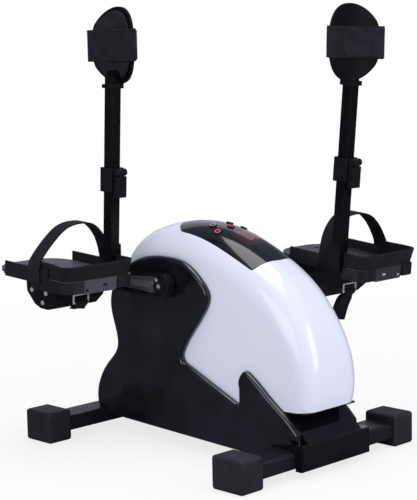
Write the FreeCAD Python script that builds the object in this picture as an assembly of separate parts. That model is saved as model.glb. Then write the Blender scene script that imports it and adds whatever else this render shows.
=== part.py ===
import FreeCAD, Part
import math
import os

# Motorised pedal exerciser with leg supports, in millimetres.
# +X points to the user, +Y to the user's right foot side, +Z up, floor at z = 0.

# Overall sizes
overall_length = 504.0
crown_rise = 96.0
bar_span = 396.0

# Stabiliser bars and their rubber end caps
bar_depth = 50.0
bar_height = 25.0
bar_wall = 2.0
bar_corner = 4.0
cap_length = 62.0
cap_depth = 47.0
cap_height = 51.0
cap_end_wall = 4.0
cap_round = 5.0
cap_fit = 0.2

# Steel frame
plate_thick = 3.0
plate_half_width = 59.0
rail_width = 30.0
rail_height = 20.0
rail_wall = 2.0
rail_offset = 38.0

# Housing
shell_half_width = 61.0
shell_wall = 4.0
cover_gap = 0.3
cover_thick = 9.0
cover_skin = 3.0
cover_round = 6.0
cover_bottom = 27.0
cover_front_drop = 13.0
rear_wall = 3.2
panel_thick = 2.2
panel_gap = 0.3
panel_ledge = 7.0
window_thick = 1.2
module_thick = 7.0
overrun = 2.0

# Front cover with its foot flange
flange_depth = 30.0
flange_overhang = 15.0
flange_height = 40.0
flange_lift = 10.0
flange_half_width = 78.0
flange_wall = 4.0
front_wall = 3.0

# Crank drive
crank_radius = 130.0
crank_height = 262.0
crank_setback = 36.0
axle_radius = 8.5
bearing_radius = 20.0
bearing_width = 12.0
running_fit = 0.05
seat_fit = 0.1
stand_thick = 8.0
stand_middle = 45.0
stand_ring = 7.0
stand_foot = 120.0
pulley_radius = 60.0
pulley_width = 12.0
pulley_side = 20.0
pulley_hub = 16.0
pulley_flange = 2.0
pulley_flange_thick = 1.5
motor_pulley_radius = 14.0
belt_thick = 2.4
belt_fit = 0.3
motor_radius = 33.0
motor_length = 54.0
motor_ahead = 144.0
motor_below = 140.0
motor_shaft_radius = 5.0
motor_shaft_grip = 24.0

# Crank arms and pedal spindles
arm_gap = 3.7
arm_thick = 16.0
arm_hub_radius = 20.0
arm_end_radius = 13.0
arm_rim = 4.0
arm_pocket = 6.0
hub_clear = 1.9
spindle_radius = 7.0
spindle_collar_radius = 11.0
spindle_collar = 5.0
bolt_radius = 6.5
bolt_head = 4.0
clamp_screw_radius = 4.0
clamp_screw_rise = 13.0

# Foot plates, measured from the spindle
right_pedal_tilt = 5.7
left_pedal_tilt = 3.5
pedal_width = 140.0
pedal_gap = 30.0
plate_toe = 88.0
plate_heel = 104.0
toe_corner = 46.0
heel_corner = 16.0
tread_top = 29.0
tread_thick = 5.0
tray_thick = 4.0
tray_inset = 3.0
side_wall = 3.0
side_wall_rise = 15.0
side_wall_toe = 45.0
side_wall_heel = 62.0
side_gap = 0.4
heel_face_drop = 16.0
heel_face_thick = 5.0
heel_face_half = 34.0
heel_rim_thick = 3.0
heel_rim_drop = 18.0
heel_rim_start = 22.0
block_length = 98.0
block_side_gap = 5.0
block_end_wall = 4.0
strap_width = 28.0
strap_thick = 2.2
strap_middle = 31.0
strap_gap = 0.3
band_height = 25.0
band_thick = 3.0
band_start = 34.0
screw_radius = 3.6
screw_head = 2.0
ring_wire = 1.6
ring_width = 30.0
ring_drop = 13.0
ring_ahead = 39.9
ring_height = -8.0
ring_inward = 15.0
tail_width = 25.0
tail_lean = 20.0
right_tail = 56.0
left_tail = 14.0

# Leg posts, measured from the spindle
post_ahead = 55.0
post_inset = 5.5
post_size = 19.0
post_wall = 1.5
post_seam = 176.0
slider_bottom = 82.0
slider_wall = 1.8
post_corner = 2.0
post_fit = 0.1
gusset_toe = 38.0
gusset_heel = 12.0
gusset_rise = 50.0
gusset_thick = 3.0
gusset_stand = 3.5
collar_bottom = 160.0
collar_height = 38.0
collar_offset = 6.0
collar_half = 13.5
lever_length = 40.0
lever_half = 10.0
lever_thick = 11.0
lever_gap = 0.4
lever_pin_radius = 2.5
lever_pin_drop = 6.0
lever_neck = 3.2

# Calf supports, measured from the spindle
cuff_height = 382.5
cuff_half_width = 52.0
cuff_half_height = 59.5
cuff_radius = 95.0
cuff_thick = 4.5
cuff_turn = 1.0
cuff_level = 3.5
cuff_set = 12.0
cuff_socket = 26.0
pad_gap = 0.3
pad_thick = 9.0
pad_inset = 6.0
pad_edge = 3.0
pad_round = 2.0
calf_strap_width = 50.0
calf_strap_thick = 2.5
calf_strap_slack = 0.8

# Keys and display window
key_radius = 6.0
key_rise = 2.4
key_depth = 7.0
key_fit = 0.35
key_flange = 1.6
key_flange_thick = 1.5
key_flange_drop = 0.9
key_round = 1.0
window_length = 44.0
window_width = 44.0
window_corner = 6.0

# Power inlet
inlet_width = 28.0
inlet_height = 20.0
inlet_depth = 18.0
inlet_flange = 4.0
inlet_flange_thick = 2.0
inlet_rise = 24.0
inlet_recess = 14.0
inlet_rim = 3.0
inlet_pin_radius = 1.6
inlet_pin_pitch = 8.0

# Values that follow
front_face = overall_length / 2
rear_bar_x = cap_length / 2 - front_face
front_bar_x = front_face - flange_overhang - bar_depth / 2
bar_top = cap_height / 2 + bar_height / 2
bar_bottom = cap_height / 2 - bar_height / 2
frame_top = bar_top + plate_thick + rail_height
crank_x = -crank_setback
cover_inner = shell_half_width + cover_gap
cover_outer = cover_inner + cover_thick
arm_inner = cover_outer + arm_gap
pedal_inner = arm_inner + arm_thick + pedal_gap
pedal_outer = pedal_inner + pedal_width
overall_width = 2 * pedal_outer
body_height = crank_height + crown_rise
pedal_middle = (pedal_inner + pedal_outer) / 2
post_y = pedal_inner + post_inset
motor_x = crank_x + motor_ahead
motor_z = crank_height - motor_below

X = FreeCAD.Vector(1, 0, 0)
Y = FreeCAD.Vector(0, 1, 0)
Z = FreeCAD.Vector(0, 0, 1)
ORIGIN = FreeCAD.Vector(0, 0, 0)


def at(x, y, z):
    return FreeCAD.Vector(x, y, z)


def side_at(x, z):
    return at(x, 0, z)


def on_body(shares):
    return side_at(shares[0] * overall_length, bar_top + shares[1] * (body_height - bar_top))


def box(low, high):
    size = high - low
    return Part.makeBox(size.x, size.y, size.z, low)


def line(start, end):
    return Part.LineSegment(start, end).toShape()


def arc(start, middle, end):
    return Part.Arc(start, middle, end).toShape()


def curve(points):
    spline = Part.BSplineCurve()
    spline.interpolate(points)
    return spline.toShape()


def outline(points):
    return Part.Face(Part.makePolygon(points + points[:1]))


def face_of(edges):
    return Part.Face(Part.Wire(Part.__sortEdges__(edges)))


def swept_y(face, start, end):
    solid = face.extrude(Y * (end - start))
    solid.translate(Y * start)
    return solid


def rod(radius, start, end):
    path = end - start
    return Part.makeCylinder(radius, path.Length, start, path)


def joined(shapes):
    whole = shapes[0]
    for shape in shapes[1:]:
        whole = whole.fuse(shape)
    return whole.removeSplitter()


def without(shape, tools):
    for tool in tools:
        shape = shape.cut(tool)
    return shape


def edges_along(shape, direction):
    chosen = []
    for edge in shape.Edges:
        ends = edge.Vertexes
        if len(ends) == 2:
            run = ends[1].Point - ends[0].Point
            if run.Length > 0 and run.cross(direction).Length < run.Length / 1000:
                chosen.append(edge)
    return chosen


def rounded_along(shape, direction, radius):
    return shape.makeFillet(radius, edges_along(shape, direction))


def write(name, shape):
    shape.exportStep("parts/" + name + ".step")


os.makedirs("parts", exist_ok=True)


# Stabilisers: two rectangular steel tubes across the machine, capped with rubber feet
def bar_tube(bar_x):
    half = at(bar_depth / 2, bar_span / 2 - cap_end_wall, bar_height / 2)
    centre = at(bar_x, 0, cap_height / 2)
    outer = rounded_along(box(centre - half, centre + half), Y, bar_corner)
    inner_half = at(half.x - bar_wall, half.y + overrun, half.z - bar_wall)
    inner = rounded_along(box(centre - inner_half, centre + inner_half), Y, bar_corner - bar_wall)
    return outer.cut(inner)


def foot_cap(bar_x, side):
    outer_end = side * bar_span / 2
    inner_end = side * (bar_span / 2 - cap_depth)
    low = at(bar_x - cap_length / 2, min(outer_end, inner_end), 0)
    high = at(bar_x + cap_length / 2, max(outer_end, inner_end), cap_height)
    block = box(low, high)
    block = block.makeFillet(cap_round, block.Edges)
    room = at(bar_depth / 2 + cap_fit, cap_depth - cap_end_wall / 2, bar_height / 2 + cap_fit)
    centre = at(bar_x, inner_end - side * cap_end_wall / 2, cap_height / 2)
    pocket = rounded_along(box(centre - room, centre + room), Y, bar_corner)
    return block.cut(pocket)


write("front_stabiliser", bar_tube(front_bar_x))
write("rear_stabiliser", bar_tube(rear_bar_x))
caps = [foot_cap(bar_x, side) for bar_x in (rear_bar_x, front_bar_x) for side in (-1, 1)]
write("foot_caps", Part.makeCompound(caps))


# Upper shell: an arch swept in a fan round a pivot inside the body, rim under the nose to the rear wall.
# Each row is x, z and corner rounding, as shares of the length, the height and the half width.
crown_shares = [
    (0.484, 0.1739, 0.43),
    (0.496, 0.3229, 0.46),
    (0.476, 0.4786, 0.56),
    (0.421, 0.6431, 0.69),
    (0.327, 0.7977, 0.82),
    (0.198, 0.9133, 0.89),
    (0.060, 0.9878, 0.92),
    (-0.079, 1.0000, 0.92),
    (-0.218, 0.9477, 0.82),
    (-0.302, 0.8443, 0.69),
    (-0.333, 0.7020, 0.59),
    (-0.333, 0.5253, 0.52),
]
fan_share = (0.119, 0.1517)
fan_core = 20.0
fan_pivot = on_body(fan_share)
fan_extra_turn = 3.0


def arch_section(x_share, z_share, corner_share, inset, extra_turn):
    crown = on_body((x_share, z_share)) - fan_pivot
    reach = crown.Length - inset
    outward = crown.normalize()
    outward = FreeCAD.Rotation(Y, extra_turn).multVec(outward)
    half = shell_half_width - inset
    corner = corner_share * shell_half_width - inset
    slant = corner * (1 - math.sqrt(0.5))
    core = fan_core - inset

    def place(across, out):
        return fan_pivot + Y * across + outward * out

    shoulder = reach - corner
    flat = half - corner
    edges = [
        line(place(-half, core), place(-half, shoulder)),
        arc(place(-half, shoulder), place(slant - half, reach - slant), place(-flat, reach)),
        line(place(-flat, reach), place(flat, reach)),
        arc(place(flat, reach), place(half - slant, reach - slant), place(half, shoulder)),
        line(place(half, shoulder), place(half, core)),
        line(place(half, core), place(-half, core)),
    ]
    return Part.Wire(edges)


def body_form(inset):
    overshoot = fan_extra_turn if inset > 0 else 0
    sections = [arch_section(*row, inset, 0) for row in crown_shares]
    if overshoot:
        sections[0] = arch_section(*crown_shares[0], inset, overshoot)
        sections[-1] = arch_section(*crown_shares[-1], inset, -overshoot)
    return Part.makeLoft(sections, True, False)


outer_form = body_form(0)
inner_form = body_form(shell_wall)
panel_floor_form = body_form(panel_thick + panel_gap)
panel_under_form = body_form(panel_thick)
window_floor_form = body_form(window_thick)
module_top_form = body_form(panel_thick + panel_gap)
module_under_form = body_form(panel_thick + module_thick)

# Control panel: a glossy skin let into the crown; its plan outline as shares of length and half width
panel_rear_share = -0.115
panel_rear_corner_shares = (-0.060, 0.70)
panel_side_shares = (0.119, 0.80)
panel_front_corner_shares = (0.254, 0.79)
panel_front_share = 0.280
window_middle_share = 0.151


def panel_prism(inset):
    rear = panel_rear_share * overall_length + inset
    front = panel_front_share * overall_length - inset
    rear_x = panel_rear_corner_shares[0] * overall_length + inset
    rear_y = panel_rear_corner_shares[1] * shell_half_width - inset
    side_x = panel_side_shares[0] * overall_length
    side_y = panel_side_shares[1] * shell_half_width - inset
    front_x = panel_front_corner_shares[0] * overall_length - inset
    front_y = panel_front_corner_shares[1] * shell_half_width - inset
    edges = [
        arc(at(rear_x, -rear_y, 0), at(rear, 0, 0), at(rear_x, rear_y, 0)),
        arc(at(rear_x, rear_y, 0), at(side_x, side_y, 0), at(front_x, front_y, 0)),
        arc(at(front_x, front_y, 0), at(front, 0, 0), at(front_x, -front_y, 0)),
        arc(at(front_x, -front_y, 0), at(side_x, -side_y, 0), at(rear_x, -rear_y, 0)),
    ]
    prism = Part.Face(Part.Wire(edges)).extrude(Z * body_height * 2)
    return rounded_along(prism, Z, panel_ledge + overrun)


def crown_at(x, y):
    ray = Part.makeLine(at(x, y, crank_height), at(x, y, body_height * 2))
    hit = ray.common(outer_form)
    return at(x, y, max(vertex.Point.z for vertex in hit.Vertexes))


key_shares = {
    "start_key": (0.032, -0.31),
    "direction_key": (0.032, 0.31),
    "slower_key": (0.073, -0.48),
    "power_key": (0.073, 0.0),
    "faster_key": (0.073, 0.48),
}
key_places = {name: (x * overall_length, y * shell_half_width) for name, (x, y) in key_shares.items()}


def key_frame(x, y):
    along = crown_at(x + key_radius, y) - crown_at(x - key_radius, y)
    across = crown_at(x, y + key_radius) - crown_at(x, y - key_radius)
    return crown_at(x, y), along.cross(across).normalize()


def key(x, y):
    top, up = key_frame(x, y)
    stem = rod(key_radius, top - up * key_depth, top + up * key_rise)
    rim = [edge for edge in stem.Edges if edge.Closed and edge.CenterOfMass.z > top.z]
    stem = stem.makeFillet(key_round, rim)
    flange_top = top - up * (panel_thick + key_flange_drop)
    flange = rod(key_radius + key_flange, flange_top - up * key_flange_thick, flange_top)
    return stem.fuse(flange).removeSplitter()


def key_hole(x, y):
    top, up = key_frame(x, y)
    return rod(key_radius + key_fit, top - up * (key_depth + overrun), top + up * (key_depth + overrun))


def window_prism(inset, base, height):
    half = at(window_length / 2 - inset, window_width / 2 - inset, 0)
    centre = at(window_middle_share * overall_length, 0, base)
    prism = box(centre - half, centre + half + Z * height)
    return rounded_along(prism, Z, window_corner - inset)


def control_panel():
    skin = panel_prism(panel_gap).common(outer_form).cut(panel_under_form)
    seat = window_prism(-panel_gap, crank_height, body_height).cut(window_floor_form)
    sight = window_prism(window_corner / 2, crank_height, body_height)
    holes = [key_hole(x, y) for x, y in key_places.values()]
    return without(skin, [seat, sight] + holes)


def display_window():
    return window_prism(0, crank_height, body_height).common(outer_form).cut(window_floor_form)


def display_module():
    return window_prism(0, crank_height, body_height).common(module_top_form).cut(module_under_form)


write("control_panel", control_panel())
write("display_window", display_window())
write("display_module", display_module())
for name, place in key_places.items():
    write(name, key(*place))


def upper_shell():
    shell = outer_form.cut(inner_form)
    recess = panel_prism(0).cut(panel_floor_form)
    opening = panel_prism(panel_ledge)
    opening = opening.common(box(at(-overall_length, -overall_width, crank_height),
                                 at(overall_length, overall_width, 2 * body_height)))
    axle_room = rod(arm_hub_radius, side_at(crank_x, crank_height) - Y * overall_width,
                    side_at(crank_x, crank_height) + Y * overall_width)
    return without(shell, [recess, opening, axle_room])


write("upper_shell", upper_shell())

# Side covers: glossy plates with a thick rounded rim; outline points as shares of length and height
cover_edge_shares = [
    (-0.4326, 0.0027),
    (-0.4286, 0.1272),
    (-0.3770, 0.2484),
    (-0.3304, 0.3385),
    (-0.3403, 0.4472),
    (-0.3572, 0.5652),
    (-0.3374, 0.6708),
    (-0.2659, 0.7764),
    (-0.1687, 0.8323),
    (-0.0813, 0.8385),
    (0.0000, 0.8168),
    (0.0680, 0.7423),
    (0.1010, 0.6646),
    (0.0800, 0.5839),
    (0.0150, 0.4534),
    (-0.0180, 0.3730),
]
cover_waist_shares = (-0.0380, 0.3330)
cover_notch_shares = (0.2242, 0.1568)
cover_notch_reach = 8.0
spike_shares = [
    (0.2242, 0.2450),
    (0.2300, 0.3080),
    (0.2480, 0.3300),
    (0.2740, 0.3150),
    (0.3590, 0.2120),
    (0.4160, 0.1480),
    (0.4660, 0.0760),
]


# The hollow behind the cover, well inside its rim
cover_room_shares = [
    (-0.397, 0.0338),
    (-0.397, 0.1239),
    (-0.347, 0.2362),
    (-0.302, 0.3318),
    (-0.313, 0.4530),
    (-0.327, 0.5653),
    (-0.312, 0.6520),
    (-0.248, 0.7421),
    (-0.165, 0.7977),
    (-0.081, 0.8043),
    (-0.010, 0.7854),
    (0.050, 0.7209),
    (0.077, 0.6587),
    (0.060, 0.5931),
    (-0.006, 0.4597),
    (-0.042, 0.3563),
    (-0.022, 0.2880),
    (0.226, 0.1230),
    (0.246, 0.1230),
    (0.246, 0.2400),
    (0.258, 0.2700),
    (0.300, 0.2200),
    (0.350, 0.1650),
    (0.396, 0.1100),
    (0.420, 0.0700),
    (0.400, 0.0338),
]


# An arc across a corner that starts and ends at one distance from it
def blended(before, corner, after, reach):
    back = (before - corner).normalize()
    ahead = (after - corner).normalize()
    half = back.getAngle(ahead) / 2
    middle = corner + (back + ahead).normalize() * reach * (1 - math.sin(half)) / math.cos(half)
    end = corner + ahead * reach
    return arc(corner + back * reach, middle, end), end


def cover_outline():
    rest = bar_top + cover_gap
    edge = [on_body(shares) for shares in cover_edge_shares]
    edge[0] = side_at(edge[0].x, rest)
    spike = [on_body(shares) for shares in spike_shares]
    notch = on_body(cover_notch_shares)
    waist = on_body(cover_waist_shares)
    flange_top = flange_lift + flange_height + cover_gap
    toe = side_at(spike[-1].x + cover_gap, flange_top)
    flange_rear = front_face - flange_depth - cover_gap
    bar_rear_edge = front_bar_x - bar_depth / 2 - cover_gap
    bar_front_edge = rear_bar_x + bar_depth / 2 + cover_gap
    corners = [
        spike[-1], toe, side_at(flange_rear, flange_top), side_at(flange_rear, rest),
        side_at(bar_rear_edge, rest), side_at(bar_rear_edge, cover_bottom - cover_front_drop),
        side_at(bar_front_edge, cover_bottom), side_at(bar_front_edge, rest), edge[0],
    ]
    waist_bend, waist_end = blended(edge[-1], waist, notch, (edge[-1] - waist).Length)
    notch_bend, notch_end = blended(waist_end, notch, spike[0], cover_notch_reach)
    notch_start = notch + (waist_end - notch).normalize() * cover_notch_reach
    edges = [curve(edge), waist_bend, line(waist_end, notch_start), notch_bend, line(notch_end, spike[0]), curve(spike)]
    edges += [line(start, end) for start, end in zip(corners, corners[1:])]
    return Part.Face(Part.Wire(edges))


def side_cover():
    face = cover_outline()
    plate = swept_y(face, cover_inner, cover_outer)
    outer = [edge for edge in plate.Edges if all(abs(v.Point.y - cover_outer) < cover_gap for v in edge.Vertexes)]
    plate = plate.makeFillet(cover_round, outer)
    room = outline([on_body(shares) for shares in cover_room_shares])
    pocket = swept_y(room, cover_inner - overrun, cover_outer - cover_skin)
    hole = rod(axle_radius + cover_skin, side_at(crank_x, crank_height), side_at(crank_x, crank_height) + Y * cover_outer * 2)
    return without(plate, [pocket, hole])


right_cover = side_cover()
write("right_side_cover", right_cover)
write("left_side_cover", right_cover.mirror(ORIGIN, Y))

# Rear cover: a curved wall between the side covers, from the rear bar up to the upper shell
rear_edge_shares = [
    (-0.4167, 0.1272),
    (-0.3631, 0.2578),
    (-0.3195, 0.3416),
    (-0.3254, 0.4472),
    (-0.3383, 0.5169),
]


def rear_cover():
    outer = [on_body(shares) for shares in rear_edge_shares]
    inner = [point + X * rear_wall for point in outer]
    foot = side_at(outer[0].x, bar_top + cover_gap)
    edges = [line(foot, outer[0]), curve(outer), line(outer[-1], inner[-1]), curve(inner)]
    edges += [line(inner[0], foot + X * rear_wall), line(foot + X * rear_wall, foot)]
    face = face_of(edges)
    wall = swept_y(face, -shell_half_width, shell_half_width)
    return wall.cut(inlet_space(seat_fit))


def inlet_centre():
    return side_at(rear_edge_shares[0][0] * overall_length, bar_top + inlet_rise)


def inlet_space(gap):
    half = at(0, inlet_width / 2 + gap, inlet_height / 2 + gap)
    return box(inlet_centre() - half - X * inlet_depth, inlet_centre() + half + X * inlet_depth)


def power_inlet():
    wide = at(0, inlet_width / 2 + inlet_flange, inlet_height / 2 + inlet_flange)
    back = inlet_centre() - X * seat_fit
    flange = rounded_along(box(back - wide - X * inlet_flange_thick, back + wide), X, inlet_flange)
    half = at(0, inlet_width / 2, inlet_height / 2)
    body = box(back - half, back + half + X * inlet_depth)
    room = half - at(0, inlet_rim, inlet_rim)
    recess = box(back - room - X * (inlet_flange_thick + overrun), back + room + X * (inlet_recess - inlet_flange_thick))
    shell = flange.fuse(body).cut(rounded_along(recess, X, inlet_rim))
    pins = []
    for place in (-1, 1):
        root = back + X * inlet_recess + Y * place * inlet_pin_pitch / 2
        pins.append(rod(inlet_pin_radius, root, root - X * inlet_recess))
    return joined([shell] + pins)


write("rear_cover", rear_cover())
write("power_inlet", power_inlet())

# Front cover: a slope below the nose, closed by a shelf under the shell and a flange over the front bar
slope_top_shares = (0.409, 0.1617)


def front_base_cover():
    top = on_body(slope_top_shares)
    flange_top = flange_lift + flange_height
    foot = side_at(front_face - front_wall, flange_top)
    inward = side_at(-front_wall, -front_wall)
    slope = swept_y(outline([top, foot, foot - Z * front_wall, foot + inward, top + inward]),
                    -shell_half_width, shell_half_width)
    nose = on_body(crown_shares[0])
    run = (fan_pivot - nose).normalize()
    drop = side_at(0, -cover_gap)
    lip = nose + run * (shell_wall + cover_gap) + drop
    far = nose + run * ((nose.x - top.x) / -run.x) + drop
    shelf = swept_y(outline([lip, far, far - Z * front_wall, lip - Z * front_wall]),
                    shell_wall - shell_half_width + cover_gap, shell_half_width - shell_wall - cover_gap)
    low = at(front_face - flange_depth, -flange_half_width, flange_lift)
    high = at(front_face, flange_half_width, flange_top)
    flange = box(low, high)
    face_edges = [edge for edge in flange.Edges if min(v.Point.x for v in edge.Vertexes) > front_face - front_wall]
    flange = flange.makeFillet(front_wall, face_edges)
    bar_room = box(at(low.x - overrun, low.y - overrun, low.z - overrun),
                   at(front_bar_x + bar_depth / 2 + cover_gap, high.y + overrun, bar_top + plate_thick + cover_gap))
    hollow = box(at(low.x - overrun, low.y + flange_wall, low.z - overrun),
                 at(high.x - flange_wall, high.y - flange_wall, high.z - flange_wall))
    return joined([slope, shelf, without(flange, [bar_room, hollow])])


write("front_base_cover", front_base_cover())


# Base frame: a floor plate on both bars with two steel rails welded on top
def base_frame():
    rear = rear_edge_shares[0][0] * overall_length + rear_wall + cover_gap
    front = front_bar_x + bar_depth / 2 - plate_thick
    rail_front = front_face - flange_depth - cover_gap
    plate = box(at(rear, -plate_half_width, bar_top), at(front, plate_half_width, bar_top + plate_thick))
    pieces = [plate]
    for side in (-1, 1):
        centre = at((rear + rail_front) / 2, side * rail_offset, frame_top - rail_height / 2)
        half = at((rail_front - rear) / 2, rail_width / 2, rail_height / 2)
        rail = rounded_along(box(centre - half, centre + half), X, rail_wall)
        hollow = at(half.x + overrun, half.y - rail_wall, half.z - rail_wall)
        pieces.append(rail.cut(box(centre - hollow, centre + hollow)))
    return joined(pieces)


write("base_frame", base_frame())


# Axle stands: steel uprights on the rails, each with a ring that holds a bearing
def axle_stand(side):
    centre = side_at(crank_x, crank_height)
    ring = bearing_radius + stand_ring
    inner = side * stand_middle - stand_thick / 2
    outer = side * stand_middle + stand_thick / 2
    foot = [side_at(crank_x - stand_foot / 2, frame_top), side_at(crank_x + stand_foot / 2, frame_top)]
    tip = [side_at(crank_x + ring, crank_height), side_at(crank_x - ring, crank_height)]
    web = swept_y(outline(foot + tip), inner, outer)
    middle = side_at(crank_x, (frame_top + crank_height) / 2)
    window = rod((crank_height - frame_top) / 5, middle - Y * overall_width, middle + Y * overall_width)
    hub = rod(ring, centre + Y * (side * stand_middle - bearing_width / 2), centre + Y * (side * stand_middle + bearing_width / 2))
    sole = box(at(foot[0].x, side * stand_middle - stand_thick, frame_top),
               at(foot[1].x, side * stand_middle + stand_thick, frame_top + plate_thick))
    bore = rod(bearing_radius + running_fit, centre - Y * overall_width, centre + Y * overall_width)
    return without(joined([web.cut(window), hub, sole]), [bore])


def axle_bearing(side):
    centre = side_at(crank_x, crank_height) + Y * side * stand_middle
    start = centre - Y * bearing_width / 2
    end = centre + Y * bearing_width / 2
    return rod(bearing_radius, start, end).cut(rod(axle_radius + running_fit, start, end))


write("left_axle_stand", axle_stand(-1))
write("right_axle_stand", axle_stand(1))
write("axle_bearings", Part.makeCompound([axle_bearing(side) for side in (-1, 1)]))


# Drive: axle, large pulley, belt, motor and its small pulley
def crank_axle():
    reach = arm_inner + arm_thick - arm_pocket
    centre = side_at(crank_x, crank_height)
    return rod(axle_radius, centre - Y * reach, centre + Y * reach)


def grooved_pulley(centre, radius, hub_radius, bore):
    start = centre - Y * pulley_width / 2
    end = centre + Y * pulley_width / 2
    drum = rod(radius, start, end)
    lips = [
        rod(radius + pulley_flange, start - Y * pulley_flange_thick, start),
        rod(radius + pulley_flange, end, end + Y * pulley_flange_thick),
    ]
    hub = rod(hub_radius, start - Y * pulley_width / 2, end + Y * pulley_width / 2)
    whole = joined([drum] + lips + [hub])
    return whole.cut(rod(bore, start - Y * pulley_width, end + Y * pulley_width))


def crank_pulley():
    centre = side_at(crank_x, crank_height) - Y * pulley_side
    wheel = grooved_pulley(centre, pulley_radius, pulley_hub, axle_radius + seat_fit)
    spoke_room = (pulley_radius - pulley_hub) / 3
    reach = (pulley_radius + pulley_hub) / 2
    holes = []
    for turn in range(5):
        angle = math.radians(72 * turn)
        spot = centre + side_at(reach * math.cos(angle), reach * math.sin(angle))
        holes.append(rod(spoke_room, spot - Y * pulley_width, spot + Y * pulley_width))
    return without(wheel, holes)


def belt_loop(extra):
    large = side_at(crank_x, crank_height)
    small = side_at(motor_x, motor_z)
    run = small - large
    large_radius = pulley_radius + extra
    small_radius = motor_pulley_radius + extra
    lean = math.asin((large_radius - small_radius) / run.Length)
    heading = math.atan2(run.z, run.x)
    corners = []
    for side in (1, -1):
        angle = heading + side * (math.pi / 2 - lean)
        out = side_at(math.cos(angle), math.sin(angle))
        corners.append((large + out * large_radius, small + out * small_radius))
    quad = outline([corners[0][0], corners[0][1], corners[1][1], corners[1][0]])
    start = -pulley_side - pulley_width / 2 + belt_fit
    end = -pulley_side + pulley_width / 2 - belt_fit
    discs = [rod(large_radius, large + Y * start, large + Y * end), rod(small_radius, small + Y * start, small + Y * end)]
    return joined([swept_y(quad, start, end)] + discs)


def motor_body():
    start = side_at(motor_x, motor_z) - Y * (pulley_side - pulley_width)
    end = start + Y * motor_length
    can = rod(motor_radius, start, end)
    can = can.makeFillet(pulley_flange, [edge for edge in can.Edges if edge.Closed])
    bell = rod(motor_radius / 2, start - Y * pulley_flange, start)
    foot = box(at(motor_x - motor_radius, rail_offset - rail_width / 2, frame_top),
               at(motor_x + motor_radius, end.y - pulley_flange, motor_z))
    bore = rod(motor_shaft_radius + running_fit, start - Y * pulley_width, start + Y * motor_shaft_grip)
    return without(joined([can, bell, foot]), [bore])


def motor_pulley():
    centre = side_at(motor_x, motor_z) - Y * pulley_side
    start = centre - Y * pulley_width / 2
    end = centre + Y * pulley_width / 2
    drum = rod(motor_pulley_radius, start, end)
    lips = [
        rod(motor_pulley_radius + pulley_flange, start - Y * pulley_flange_thick, start),
        rod(motor_pulley_radius + pulley_flange, end, end + Y * pulley_flange_thick),
    ]
    shaft = rod(motor_shaft_radius, start - Y * pulley_flange, end + Y * (motor_shaft_grip + running_fit))
    return joined([drum, shaft] + lips)


write("crank_axle", crank_axle())
write("crank_pulley", crank_pulley())
write("drive_belt", belt_loop(belt_fit + belt_thick).cut(belt_loop(belt_fit)))
write("motor_body", motor_body())
write("motor_pulley", motor_pulley())

# Control board: a printed board on four pegs above the floor plate
board_length = 88.0
board_half_width = 20.0
board_thick = 1.6
board_peg = 8.0
board_peg_radius = 3.0
board_part = 14.0


def control_board():
    base = bar_top + plate_thick
    level = base + board_peg
    low = at(crank_x - board_length / 2, -board_half_width, level)
    high = at(crank_x + board_length / 2, board_half_width, level + board_thick)
    pieces = [box(low, high)]
    for x in (low.x + board_peg_radius, high.x - board_peg_radius):
        for y in (low.y + board_peg_radius, high.y - board_peg_radius):
            pieces.append(rod(board_peg_radius, at(x, y, base), at(x, y, level)))
    for step in range(3):
        corner = at(low.x + board_part * (1 + 2 * step), -board_part / 2, high.z)
        pieces.append(box(corner, corner + at(board_part, board_part, board_part * (step + 1) / 3)))
    return joined(pieces)


write("control_board", control_board())


# Crank arms: tapered links with a raised rim, clamped on the axle
def crank_arm(side):
    reach = side * crank_radius
    hub = side_at(crank_x, crank_height)
    tip = hub + X * reach
    inner = Y * arm_inner
    outer = Y * (arm_inner + arm_thick)

    def link(hub_radius, end_radius, start, end):
        lean = math.asin((hub_radius - end_radius) / crank_radius)
        corners = []
        for place in (1, -1):
            angle = place * (math.pi / 2 - lean)
            out = side_at(side * math.cos(angle), math.sin(angle))
            corners.append((hub + out * hub_radius, tip + out * end_radius))
        web = swept_y(outline([corners[0][0], corners[0][1], corners[1][1], corners[1][0]]), start, end)
        return joined([web, rod(hub_radius, hub + Y * start, hub + Y * end), rod(end_radius, tip + Y * start, tip + Y * end)])

    body = link(arm_hub_radius, arm_end_radius, inner.y, outer.y)
    pocket = link(arm_hub_radius - arm_rim, arm_end_radius - arm_rim, outer.y - arm_pocket, outer.y + overrun)
    pad = rod(arm_hub_radius - arm_rim, hub + outer - Y * arm_pocket, hub + outer - Y * arm_rim / 2)
    neck = rod(arm_hub_radius - arm_rim / 2, hub + Y * (cover_outer + hub_clear), hub + inner)
    eye = rod(spindle_radius + arm_rim, tip + inner, tip + outer)
    arm = joined([body.cut(pocket), neck, pad, eye])
    bores = [
        rod(axle_radius + seat_fit, hub, hub + outer - Y * arm_pocket),
        rod(spindle_radius + seat_fit, tip, tip + outer * 2),
    ]
    return without(arm, bores)


def crank_bolts(side):
    hub = side_at(crank_x, crank_height) + Y * (arm_inner + arm_thick - arm_rim / 2)
    up = hub + side_at(side * arm_rim, clamp_screw_rise - spindle_radius / 2)
    washer = rod(bolt_radius + arm_rim / 2, hub, hub + Y * arm_rim / 4)
    head = rod(bolt_radius, hub + Y * arm_rim / 4, hub + Y * bolt_head)
    socket = rod(bolt_radius / 2, hub + Y * bolt_head / 2, hub + Y * bolt_head * 2)
    screw = rod(clamp_screw_radius, up, up + Y * bolt_head)
    slot = rod(clamp_screw_radius / 2, up + Y * bolt_head / 2, up + Y * bolt_head * 2)
    gap = rod(bolt_radius + arm_rim / 2 + seat_fit, hub, hub + Y * bolt_head)
    return Part.makeCompound([washer.fuse(head).cut(socket).removeSplitter(), screw.cut(slot).cut(gap)])


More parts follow.
